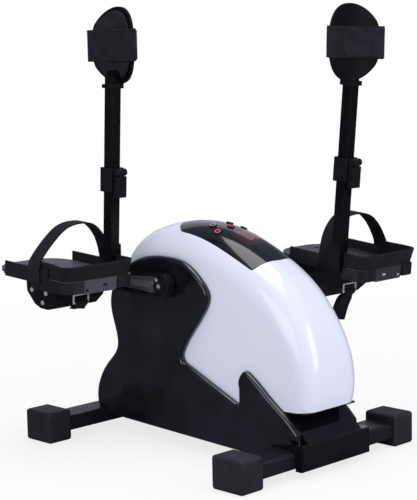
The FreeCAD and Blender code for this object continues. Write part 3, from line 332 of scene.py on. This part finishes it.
# The five keys: soft black caps that stand through the console, each with a ring printed on its
# top, pale on the start key and pink on the others. A ring is a film that follows the cap.
key_black = grained("key_black", (0.011, 0.010, 0.013), 0.38, cell=0.0008, patch=0.006)
ring_pink = grained("ring_pink", (0.62, 0.065, 0.14), 0.45, spread=0.2, cell=0.0006, patch=0.004)
mark_pale = grained("mark_pale", (0.34, 0.33, 0.30), 0.5, spread=0.15, cell=0.0006, patch=0.004)
ring_radii, ring_steps = (0.0031, 0.0050), 40
for key in ("start", "direction", "slower", "power", "faster"):
    cap = node[key + "_key"]
    dress(key_black, key + "_key")
    paint, colour = (mark_pale, "key_grey") if key == "start" else (ring_pink, "key_red")
    middle = sum((v.co for v in cap.data.vertices), Vector()) / len(cap.data.vertices)
    out = max(cap.data.polygons, key=lambda f: f.area if f.normal.z > 0.6 else 0).normal.normalized()
    sideways = out.cross(Vector((0, 1, 0))).normalized()
    across = out.cross(sideways)
    mesh = bmesh.new()
    rings = []
    for radius in ring_radii:
        turns = [step * 2 * math.pi / ring_steps for step in range(ring_steps)]
        starts = [middle + out * 0.03 + (sideways * math.cos(t) + across * math.sin(t)) * radius for t in turns]
        rings.append([mesh.verts.new(cast(cap, start, -out, 0.03) + out * 0.00015) for start in starts])
    for step in range(ring_steps):
        after = (step + 1) % ring_steps
        face_out(mesh, (rings[0][step], rings[1][step], rings[1][after], rings[0][after]), out)
    bmesh.ops.solidify(mesh, geom=mesh.faces[:], thickness=film_thick)
    mark = as_piece(key + "_mark", mesh, paint)
    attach(mark, key + "_key_body")

# The crank arms: cast links in gloss black enamel, clamped on the axle. The casting leaves a low
# rounded lip inside the edge of each outer face, coloured a lighter grey as a painted highlight.
arm_enamel = grained("arm_enamel", (0.0065, 0.0065, 0.0095), 0.22, cell=0.0016, depth=0.00005, coat=0.5)
dress(arm_enamel, "left_crank_arm", "right_crank_arm")
# The lip's lighter grey is a painted highlight along the arm's edges.
rib_painted_highlight = grained("rib_painted_highlight", (0.085, 0.083, 0.092), 0.26, spread=0.2, cell=0.0016,
                     depth=0.00005, coat=0.6)
arm_face = 0.084
lip_steps = ((0.0010, 0.0001), (0.0012, 0.0010), (0.0010, 0.0010), (0.0012, 0.0001))
for hand, side in (("left", -1), ("right", 1)):
    mesh = bmesh.new()
    mesh.from_mesh(node[hand + "_crank_arm"].data)
    bmesh.ops.recalc_face_normals(mesh, faces=mesh.faces)
    bmesh.ops.remove_doubles(mesh, verts=mesh.verts, dist=0.00001)
    inner = [f for f in mesh.faces
             if side * f.normal.y < 0.99 or abs(side * f.calc_center_median().y - arm_face) > 0.0002]
    bmesh.ops.delete(mesh, geom=inner, context="FACES")
    bmesh.ops.dissolve_limit(mesh, angle_limit=0.02, verts=mesh.verts, edges=mesh.edges)
    lips = []
    for wide, rise in lip_steps:
        flat = [f for f in mesh.faces if f not in lips]
        lips += bmesh.ops.inset_region(mesh, faces=flat, thickness=wide, use_even_offset=True,
                                       use_boundary=True)["faces"]
        for v in {v for f in mesh.faces if f not in lips for v in f.verts}:
            v.co.y = side * (arm_face + rise)
    edge = {f for f in lips if min(side * v.co.y for v in f.verts) < arm_face + 0.00005}
    bmesh.ops.delete(mesh, geom=[f for f in mesh.faces if f not in lips or f in edge], context="FACES")
    bmesh.ops.bridge_loops(mesh, edges=[e for e in mesh.edges if e.is_boundary])
    bmesh.ops.recalc_face_normals(mesh, faces=mesh.faces)
    for f in mesh.faces:
        f.smooth = True
    lip = as_piece(hand + "_arm_lip", mesh, rib_painted_highlight)
    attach(lip, "crank")


# The small hardware: zinc plated screws on each pedal and the wire ring of its strap. The bolt
# and the grub screw of each arm have gone dark, with the zinc bright in the middle only.
def zinc(name):
    """Bright zinc plate, slightly mottled."""
    return grained(name, (0.72, 0.72, 0.73), 0.24, spread=0.08, cell=0.0007, depth=0.00001,
                   metallic=0.55, patch=0.01)


def round_spot(tree, x, z, radius, soft=0.0008):
    """1 within the radius of an axis along Y at x and z, and 0 past its soft edge."""
    where = tree.nodes.new("ShaderNodeTexCoord")
    away = add_node(tree, "ShaderNodeVectorMath", "SUBTRACT")
    away.inputs[1].default_value = (x, 0, z)
    plane = add_node(tree, "ShaderNodeVectorMath", "MULTIPLY")
    plane.inputs[1].default_value = (1, 0, 1)
    far = add_node(tree, "ShaderNodeVectorMath", "LENGTH")
    edge = add_node(tree, "ShaderNodeMapRange", From_Min=radius, From_Max=radius + soft, To_Min=1, To_Max=0)
    link(tree, where.outputs["Object"], away.inputs[0])
    link(tree, away.outputs["Vector"], plane.inputs[0])
    link(tree, plane.outputs["Vector"], far.inputs[0])
    link(tree, far.outputs["Value"], edge.inputs["Value"])
    return edge.outputs["Result"]


zinc_plate = zinc("zinc_plate")
for hand in ("left_", "right_"):
    dress(zinc_plate, hand + "pedal_screws", hand + "strap_ring")
hub_bolts = zinc("hub_bolts")
tree = hub_bolts.node_tree
colour_input = tree.nodes["Principled BSDF"].inputs["Base Color"]
bare = colour_input.links[0].from_socket
bright = calc(tree, "MAXIMUM", round_spot(tree, -0.036, 0.262, 0.0030),
              round_spot(tree, -0.0405, 0.2720, 0.0024))
darkened = tree.nodes.new("ShaderNodeMix")
darkened.data_type = "RGBA"
darkened.inputs["A"].default_value = (0.035, 0.034, 0.042, 1)
link(tree, bright, darkened.inputs["Factor"])
link(tree, bare, darkened.inputs["B"])
link(tree, darkened.outputs["Result"], colour_input)
dress(hub_bolts, "crank_bolts")

# The pedals and leg posts: pressed steel foot plates, each on a moulded block that turns on the
# spindle, with a steel post that a collar and a clamp lever hold, and a calf shell on top.
block_plastic = grained("block_plastic", (0.0060, 0.0060, 0.0090), 0.34, cell=0.0012,
                        depth=0.00005, specular=0.2)
shell_plastic = grained("shell_plastic", (0.0045, 0.0045, 0.0070), 0.40, cell=0.0012,
                        depth=0.00005, specular=0.12)
post_enamel = grained("post_enamel", (0.0028, 0.0028, 0.0042), 0.33, cell=0.0010,
                      depth=0.00003, specular=0.15)
for hand in ("left_", "right_"):
    dress(powder_coat, hand + "foot_plate")
    dress(post_enamel, hand + "lower_post", hand + "upper_post")
    dress(block_plastic, hand + "pedal_block", hand + "post_collar", hand + "clamp_lever")
    dress(shell_plastic, hand + "calf_shell")

# The foot treads: moulded grey mats pressed into the trays, the left one matt; the right one
# is the same mat painted darker as painted shade, and a little smoother.
tread_grey = grained("tread_grey", (0.066, 0.064, 0.084), 0.5, spread=0.08, cell=0.0011,
                     depth=0.00007, patch=0.04)
dress(tread_grey, "left_foot_tread")
# The right tread's darker colour is painted shade, not a different mat.
tread_painted_shade = grained("tread_painted_shade", (0.030, 0.029, 0.038), 0.42, spread=0.10, cell=0.0011,
                     depth=0.00007, patch=0.04)
dress(tread_painted_shade, "right_foot_tread")


# The instep straps: flat navy-black webbing that comes up from the outer wall of each foot plate,
# arches over the shoe and drops behind the inner wall, a little higher and fuller on the inner
# side. Each is a swept strip with round selvedges and a woven twill.
def placed(side, spots):
    """Points measured from a pedal's spindle, right pedal, in metres, to where that pedal is."""
    lean = math.radians(5.7 if side > 0 else 3.5)
    hub = Vector((-0.036 + side * 0.130, 0, 0.262))
    run, drop = math.cos(lean), math.sin(lean)
    return [hub + Vector((x * run + z * drop, side * y, z * run - x * drop)) for x, y, z in spots]


def heading(side, way):
    """A direction on a pedal, turned as that pedal is."""
    return placed(side, [way])[0] - placed(side, [(0, 0, 0)])[0]


def softened(points, step, closed=False):
    """Even small steps along a smooth line through the points."""
    points = [Vector(point) for point in points]
    count = len(points)
    line = []
    for i in range(count if closed else count - 1):
        b, c = points[i], points[(i + 1) % count]
        a = points[i - 1] if closed or i else b * 2 - c
        d = points[(i + 2) % count] if closed or i + 2 < count else c * 2 - b
        steps = max(1, round((c - b).length / step))
        square, cube = 2 * a - 5 * b + 4 * c - d, 3 * b - a - 3 * c + d
        for t in (s / steps for s in range(steps)):
            line.append(0.5 * (2 * b + (c - a) * t + square * t * t + cube * t ** 3))
    if not closed:
        line.append(points[-1])
    return line


def strip(name, centre, across, width, thick, material, closed=False, ripple=0.0003, nose=0):
    """A webbing strip along a line of centres, with round selvedges; its UV map is in metres."""
    mesh = bmesh.new()
    woven = mesh.loops.layers.uv.new("woven")
    half, bulge = width / 2, thick / 2
    short_wave, wave_start, long_wave, cupping = 95, 1.3, 31, 1.9
    straight = [(k / 12 - 0.5) * (width - thick) for k in range(13)]
    bends = [(half - bulge + bulge * math.sin(a), bulge * math.cos(a)) for a in (k * math.pi / 4 for k in (1, 2, 3))]
    section = [(u, bulge) for u in straight] + bends
    section += [(-u, -v) for u, v in section]
    count = len(centre)
    rings, run, along = [], [], 0.0
    for i, point in enumerate(centre):
        after = centre[(i + 1) % count] if closed or i + 1 < count else point
        before = centre[i - 1] if closed or i else point
        wide = Vector(across[i] if isinstance(across, list) else across).normalized()
        rise = wide.cross(after - before).normalized()
        if i:
            along += (point - centre[i - 1]).length
        run.append(along)
        wave = ripple * math.sin(along * short_wave + wave_start) * (0.6 + 0.4 * math.sin(along * long_wave))
        fit = 1
        if along < nose:
            fit = 1 - (nose - math.sqrt(max(0, nose ** 2 - (nose - along) ** 2))) / half
        lifts = [v + wave * math.cos(u / half * cupping) for u, v in section]
        rings.append([mesh.verts.new(point + wide * u * fit + rise * lift) for (u, v), lift in zip(section, lifts)])
    size = len(section)
    for i in range(count if closed else count - 1):
        near, far = rings[i], rings[(i + 1) % count]
        high = run[i + 1] if i + 1 < count else run[i] + (centre[0] - centre[i]).length
        for k in range(size):
            m = (k + 1) % size
            face = mesh.faces.new((near[k], near[m], far[m], far[k]))
            face.smooth = True
            for loop, spot in zip(face.loops, ((k, run[i]), (m, run[i]), (m, high), (k, high))):
                loop[woven].uv = (section[spot[0]][0], spot[1])
    if not closed:
        mesh.faces.new(rings[0])
        mesh.faces.new(list(reversed(rings[-1])))
    bmesh.ops.recalc_face_normals(mesh, faces=mesh.faces)
    return as_piece(name, mesh, material)


def weave(name, colour, rib=0.0021, pick=0.0016, depth=0.00025):
    """Webbing: ribs along the strip, picks across them on alternate ribs, fuzz and worn patches, with painted shade
    in the weave's low parts and a painted highlight on its high parts.
    """
    made, tree, shader, output = new_material(name)
    flat = tree.nodes.new("ShaderNodeUVMap")
    flat.uv_map = "woven"
    parts = tree.nodes.new("ShaderNodeSeparateXYZ")
    link(tree, flat.outputs["UV"], parts.inputs["Vector"])
    across, along = parts.outputs["X"], parts.outputs["Y"]
    per_rib, per_pick = 2 * math.pi / rib, 2 * math.pi / pick
    ribs = calc(tree, "SINE", calc(tree, "MULTIPLY_ADD", across, per_rib, 0))
    slant = calc(tree, "MULTIPLY", across, per_rib)
    picks = calc(tree, "SINE", calc(tree, "MULTIPLY_ADD", along, per_pick, slant))
    fuzz = spot_noise(tree, 2600, 2, 0.6)
    high = calc(tree, "ADD", calc(tree, "MULTIPLY_ADD", ribs, 0.6, picks), fuzz.outputs["Fac"])
    bump = add_node(tree, "ShaderNodeBump", Distance=depth, Strength=0.9)
    link(tree, high, bump.inputs["Height"])
    link(tree, bump.outputs["Normal"], shader.inputs["Normal"])
    worn = spot_noise(tree, 55, 4, 0.6)
    tone = ramp(tree, worn.outputs["Fac"], tuple(c * 0.75 for c in colour), tuple(c * 1.35 for c in colour))
    # Painted shade and highlight: the colour is darkened in the weave's low parts and lightened on its high parts.
    weave_shade_and_highlight = add_node(tree, "ShaderNodeMapRange", From_Min=-1.2, From_Max=2.2, To_Min=0.45, To_Max=1.25)
    link(tree, high, weave_shade_and_highlight.inputs["Value"])
    shade = add_node(tree, "ShaderNodeVectorMath", "SCALE")
    link(tree, tone, shade.inputs[0])
    link(tree, weave_shade_and_highlight.outputs["Result"], shade.inputs["Scale"])
    link(tree, shade.outputs["Vector"], shader.inputs["Base Color"])
    shader.inputs["Roughness"].default_value = 0.78
    shader.inputs["Specular IOR Level"].default_value = 0.2
    shader.inputs["Sheen Weight"].default_value = 0.03
    shader.inputs["Sheen Roughness"].default_value = 0.5
    return made


webbing = weave("webbing", (0.0090, 0.0090, 0.0165))
arch = [(0.2610, 0.021), (0.2612, 0.046), (0.2530, 0.0615), (0.2330, 0.0840), (0.2095, 0.1012),
        (0.1820, 0.1066), (0.1515, 0.1015), (0.1290, 0.0785), (0.1189, 0.046), (0.1189, 0.021)]
strap_x, sway = 0.031, 0.0015
for hand, side in (("left", -1), ("right", 1)):
    points = [(strap_x + sway * math.sin(5 * k), y, z) for k, (y, z) in enumerate(arch)]
    line = placed(side, softened(points, 0.003))
    loop = strip(hand + "_instep_webbing", line, heading(side, (1, 0, 0)), 0.0278, 0.0021, webbing)
    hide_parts(hand + "_instep_strap")
    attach(loop, hand + "_pedal")

# The tails: the loose end of each instep strap, folded round the lower bar of its wire ring and
# sewn back on itself. The right one hangs long, the left one is pulled short.
thread_grey = grained("thread_grey", (0.020, 0.020, 0.028), 0.7, cell=0.0004, depth=0.00005, patch=0.004)


def evaluated(piece):
    """The piece's mesh as its modifiers leave it."""
    bpy.context.view_layer.update()
    return bpy.data.meshes.new_from_object(piece.evaluated_get(bpy.context.evaluated_depsgraph_get()))


def bar_tack(name, lines, body, thread=0.00035, pitch=0.0028, dash=0.0021):
    """Stitches along lines of points, laid by Geometry Nodes and kept as a plain mesh."""
    tree = bpy.data.node_groups.new(name + "_tree", "GeometryNodeTree")
    sizes = {"Pitch": pitch, "Dash": dash, "Thread": thread}
    tree.interface.new_socket("Lines", in_out="INPUT", socket_type="NodeSocketGeometry")
    for socket in sizes:
        tree.interface.new_socket(socket, in_out="INPUT", socket_type="NodeSocketFloat")
    tree.interface.new_socket("Stitches", in_out="OUTPUT", socket_type="NodeSocketGeometry")
    start, end = tree.nodes.new("NodeGroupInput"), tree.nodes.new("NodeGroupOutput")
    curve = tree.nodes.new("GeometryNodeMeshToCurve")
    even = tree.nodes.new("GeometryNodeResampleCurve")
    even.mode = "LENGTH"
    spots = tree.nodes.new("GeometryNodeInstanceOnPoints")
    bead = add_node(tree, "GeometryNodeMeshUVSphere", Segments=8, Rings=5, Radius=1.0)
    size = tree.nodes.new("ShaderNodeCombineXYZ")
    along = tree.nodes.new("GeometryNodeInputTangent")
    turn = tree.nodes.new("FunctionNodeAlignRotationToVector")
    turn.axis = "Z"
    real = tree.nodes.new("GeometryNodeRealizeInstances")
    paint = add_node(tree, "GeometryNodeSetMaterial", Material=thread_grey)
    link(tree, start.outputs["Lines"], curve.inputs["Mesh"])
    link(tree, curve.outputs["Curve"], even.inputs["Curve"])
    link(tree, start.outputs["Pitch"], even.inputs["Length"])
    link(tree, even.outputs["Curve"], spots.inputs["Points"])
    link(tree, bead.outputs["Mesh"], spots.inputs["Instance"])
    link(tree, along.outputs["Tangent"], turn.inputs["Vector"])
    link(tree, turn.outputs["Rotation"], spots.inputs["Rotation"])
    link(tree, start.outputs["Thread"], size.inputs["X"])
    link(tree, start.outputs["Thread"], size.inputs["Y"])
    link(tree, calc(tree, "MULTIPLY", start.outputs["Dash"], 0.5), size.inputs["Z"])
    link(tree, size.outputs["Vector"], spots.inputs["Scale"])
    link(tree, spots.outputs["Instances"], real.inputs["Geometry"])
    link(tree, real.outputs["Geometry"], paint.inputs["Geometry"])
    link(tree, paint.outputs["Geometry"], end.inputs["Stitches"])
    joins, first = [], 0
    for line in lines:
        joins += [(first + k, first + k + 1) for k in range(len(line) - 1)]
        first += len(line)
    data = bpy.data.meshes.new(name + "_lines")
    data.from_pydata([point for line in lines for point in line], joins, [])
    rows = bpy.data.objects.new(name, data)
    bpy.context.collection.objects.link(rows)
    layer = rows.modifiers.new("stitches", "NODES")
    layer.node_group = tree
    for item in tree.interface.items_tree:
        if item.name in sizes:
            layer[item.identifier] = sizes[item.name]
    made = evaluated(rows)
    rows.modifiers.remove(layer)
    rows.data = made
    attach(rows, body)


bar = Vector((0.0399, 0.175, -0.021))
lean = math.radians(20)
down = Vector((-math.sin(lean), 0, -math.cos(lean)))
outward = Vector((-math.cos(lean), 0, math.sin(lean)))
wrap, shoulder, sag = 0.0031, 0.0022, 0.0016
full_twist, twist_start, twist_run = math.radians(42), 0.003, 0.014
for hand, side, hang in (("left", -1, 0.014), ("right", 1, 0.056)):
    inner_end = min(0.026, hang * 0.8)
    profile = [(0.0007, inner_end), (0.0007, inner_end * 0.7), (-0.0002, 0.008), (-0.0024, 0.003), (-wrap, 0)]
    profile += [(-shoulder, -shoulder), (0, -wrap), (shoulder, -shoulder), (wrap, 0), (wrap, 0.006)]
    profile += [(wrap + sag * math.sin(s * 70), s) for s in (hang * 0.5, hang * 0.8, hang)]
    path = softened([bar + outward * a + down * s for a, s in profile], 0.0012)
    across = []
    for k, p in enumerate(path):
        turned = min(1, max(0, ((p - bar).dot(down) - twist_start) / twist_run)) if k > len(path) * 0.4 else 0
        twist = full_twist * turned
        across.append(heading(side, (side * math.sin(twist), math.cos(twist), 0)))
    tail = strip(hand + "_strap_tail", placed(side, path), across, 0.0246, 0.0021, webbing)
    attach(tail, hand + "_pedal")
    rows = []
    for drop in (0.0150, 0.0204) if side > 0 else (hang * 0.55,):
        spot = bar + outward * 0.0043 + down * drop
        rows.append(placed(side, [spot + Vector((0, w, 0)) for w in (-0.010, 0, 0.010)]))
    bar_tack(hand + "_tail_stitches", rows, hand + "_pedal")

# The heel bands: the same webbing set on edge round the back of each foot plate, leaning out
# a little at the top where heels have pushed it, with a row of stitches along each edge.
edge_in, edge_out, heel, bend = 0.1249, 0.2551, 0.1025, 0.0145
band_foot, band_half = 0.0418, 0.0125
corner_turns = [k * math.pi / 8 for k in range(5)]
route = [(0.0660, edge_in), (0.0770, edge_in)]
route += [(heel - bend + bend * math.sin(a), edge_in + bend - bend * math.cos(a)) for a in corner_turns]
route += [(heel + 0.0004, 0.165), (heel + 0.0008, 0.190), (heel + 0.0004, 0.215)]
route += [(heel - bend + bend * math.cos(a), edge_out - bend + bend * math.sin(a)) for a in corner_turns]
route += [(0.0750, edge_out + 0.0005), (0.0560, edge_out), (0.0350, edge_out)]
for hand, side in (("left", -1), ("right", 1)):
    middle, wide = [], []
    for p in softened([(x, y, band_foot) for x, y in route], 0.003):
        push = 0.17 * min(1, max(0, (p.x - 0.060) / 0.030))
        wide.append(Vector((push, push * max(-1, min(1, (p.y - 0.190) / 0.060)), 1)).normalized())
        middle.append(p + wide[-1] * band_half - Vector((0, 0, band_half)))
    across = [heading(side, w) for w in wide]
    line = placed(side, middle)
    band = strip(hand + "_heel_webbing", line, across, 0.0246, 0.0026, webbing)
    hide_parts(hand + "_heel_band")
    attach(band, hand + "_pedal")
    rows = []
    for lift in (-0.0098, 0.0098):
        rows.append([p + a * lift + (p - b).cross(a).normalized() * 0.0014 * side
                     for b, p, a in zip(line, line[1:], across[1:])])
    bar_tack(hand + "_heel_stitches", rows, hand + "_pedal")

# The heel plugs: two oval plugs in the folded heel face of each tread, flat headed with a round
# edge; black on the left pedal, bare zinc on the right one.
plug_radius, plug_steps = 0.0019, 28
head_profile = ((1.0, -0.0004), (1.0, 0.0005), (0.93, 0.0009), (0.80, 0.0011), (0.45, 0.0008))
for hand, side, paint in (("left", -1, block_plastic), ("right", 1, zinc_plate)):
    way = -heading(side, (1, 0, 0))
    mesh = bmesh.new()
    for y, z, long in ((0.2165, 0.0140, 0.0020), (0.1800, 0.0183, 0.0034)):
        rings = []
        for grow, rise in head_profile:
            ring = []
            for step in range(plug_steps):
                turn = step * 2 * math.pi / plug_steps
                shift = (long - 0.0012) * (1 if math.cos(turn) > 0 else -1)
                across = y + shift + plug_radius * grow * math.cos(turn)
                start = placed(side, [(0.12, across, z + plug_radius * grow * math.sin(turn))])[0]
                ring.append(mesh.verts.new(cast(node[hand + "_foot_tread"], start, way, 0.016) - way * rise))
            rings.append(ring)
        for low, high in zip(rings, rings[1:]):
            for step in range(plug_steps):
                after = (step + 1) % plug_steps
                mesh.faces.new((low[step], low[after], high[after], high[step])).smooth = True
        mesh.faces.new(rings[-1])
        mesh.faces.new(list(reversed(rings[0])))
    bmesh.ops.recalc_face_normals(mesh, faces=mesh.faces)
    plugs = as_piece(hand + "_heel_plugs", mesh, paint)
    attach(plugs, hand + "_pedal")


# The calf straps: wide bands that pass round the back of each calf support and close over the leg,
# with a free end pressed on the back and a row of stitches along each edge.
def on_cuff(side, spots):
    """Points measured from a calf support's middle, right side, in metres, to where it is."""
    turn, level = math.radians(1.0), math.radians(-3.5)
    cuff_x, cuff_y, cuff_z = 0.055, 0.1255, 0.3825
    held = []
    for x, y, z in spots:
        u, v = x * math.cos(turn) - y * math.sin(turn), x * math.sin(turn) + y * math.cos(turn)
        held.append((cuff_x + u * math.cos(level) + z * math.sin(level), cuff_y + v,
                     cuff_z - u * math.sin(level) + z * math.cos(level)))
    return placed(side, held)


calf_webbing = weave("calf_webbing", (0.0095, 0.0095, 0.0160), rib=0.0030, pick=0.0019)
flap_webbing = weave("flap_webbing", (0.0160, 0.0160, 0.0280), rib=0.0030, pick=0.0019)
back_y, bow, edge, front = 0.08075, 0.09705, 0.05405, 0.00771
corner = back_y - math.sqrt(bow ** 2 - edge ** 2)
outer_bow = bow + 0.0021
front_bow = ((0.048, 0), (0.024, 0.0006), (0, 0.0009), (-0.024, 0.0006), (-0.048, 0))


def back_arc(start, end, steps, radius):
    """Points round the back of a calf support, from one side to the other."""
    spans = [start + (end - start) * k / steps for k in range(steps + 1)]
    return [(x, back_y - math.sqrt(radius ** 2 - x ** 2), 0) for x in spans]


for hand, side in (("left", -1), ("right", 1)):
    turn_in = [(edge - 0.0006, corner + 0.0012), (edge, corner + 0.0040), (edge - 0.0014, front - 0.0006)]
    ring = back_arc(-0.050, 0.050, 10, bow)
    ring += [(x, y, 0) for x, y in turn_in]
    ring += [(x, front - dip, 0) for x, dip in front_bow]
    ring += [(-x, y, 0) for x, y in reversed(turn_in)]
    tall = on_cuff(side, [(0, 0, 1)])[0] - on_cuff(side, [(0, 0, 0)])[0]
    line = on_cuff(side, softened(ring, 0.003, closed=True))
    band = strip(hand + "_calf_webbing", line, tall, 0.0496, 0.0024, calf_webbing, closed=True, ripple=0.0002)
    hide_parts(hand + "_calf_strap")
    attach(band, hand + "_leg_rest")
    end = back_arc(-0.004, 0.050, 12, outer_bow)
    end += [(edge + 0.0012, corner + 0.0012, 0), (edge + 0.0021, corner + 0.0040, 0)]
    flap = strip(hand + "_calf_strap_end", on_cuff(side, softened(end, 0.002)), tall, 0.0440, 0.0016,
                 flap_webbing, ripple=0.0001, nose=0.014)
    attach(flap, hand + "_leg_rest")
    front_row = [(0.048 - 0.008 * k, front - 0.0004 + 0.0012) for k in range(13)]
    back_row = [(x, y - 0.0013) for x, y, z in back_arc(-0.050, -0.008, 12, bow)]
    flap_row = [(x, y - 0.0009) for x, y, z in back_arc(0.012, 0.050, 10, outer_bow)]
    rows = []
    for row, high in ((back_row, 0.0222), (front_row, 0.0222), (flap_row, 0.0195)):
        rows += [on_cuff(side, [(x, y, lift) for x, y in row]) for lift in (-high, high)]
    bar_tack(hand + "_calf_stitches", rows, hand + "_leg_rest", thread=0.0004, pitch=0.0032, dash=0.0024)

# The calf pads: foam under knit fabric, crowned inside each support and drawn in at the rim.
# Cloth under pressure gives the crown; the back stays flat on the shell.
knit = grained("knit", (0.013, 0.013, 0.019), 0.85, spread=0.25, cell=0.0007, depth=0.00025,
               patch=0.02, specular=0.2)
cloth_frames, most_swell = 20, 0.005
for hand, side in (("left", -1), ("right", 1)):
    shape = bmesh.new()
    shape.from_mesh(node[hand + "_calf_pad"].data)
    bmesh.ops.remove_doubles(shape, verts=shape.verts, dist=0.00001)
    bmesh.ops.recalc_face_normals(shape, faces=shape.faces)
    pad = as_piece(hand + "_calf_cushion", shape, knit)
    remesh = pad.modifiers.new("even", "REMESH")
    remesh.mode = "VOXEL"
    remesh.voxel_size = 0.0035
    remesh.use_smooth_shade = True
    even = evaluated(pad)
    pad.modifiers.clear()
    pad.data = even
    rest = [v.co.copy() for v in even.vertices]
    inward = Vector((0, -side, 0))
    held = pad.vertex_groups.new(name="held")
    for v in even.vertices:
        held.add([v.index], 1.0 if v.normal.dot(inward) > 0.2 else 0.0, "REPLACE")
    cloth = pad.modifiers.new("cloth", "CLOTH")
    rules = cloth.settings
    rules.quality = 6
    rules.mass = 0.15
    rules.tension_stiffness = 12
    rules.compression_stiffness = 12
    rules.shear_stiffness = 5
    rules.bending_stiffness = 0.8
    rules.vertex_group_mass = "held"
    rules.use_pressure = True
    rules.uniform_pressure_force = 4
    rules.effector_weights.gravity = 0
    cloth.collision_settings.use_collision = False
    cloth.point_cache.frame_start, cloth.point_cache.frame_end = 1, cloth_frames
    for moment in range(1, cloth_frames + 1):
        bpy.context.scene.frame_set(moment)
    blown = evaluated(pad)
    pad.modifiers.clear()
    pad.data = blown
    bpy.context.scene.frame_set(1)
    for v, start in zip(blown.vertices, rest):
        move = v.co - start
        v.co = start + move * min(1, most_swell / max(move.length, 0.000001))
    smooth = pad.modifiers.new("soft", "SUBSURF")
    smooth.levels = smooth.render_levels = 1
    soft = evaluated(pad)
    pad.modifiers.clear()
    pad.data = soft
    for face in soft.polygons:
        face.use_smooth = True
    soft.materials.clear()
    soft.materials.append(knit)
    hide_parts(hand + "_calf_pad")
    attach(pad, hand + "_leg_rest")
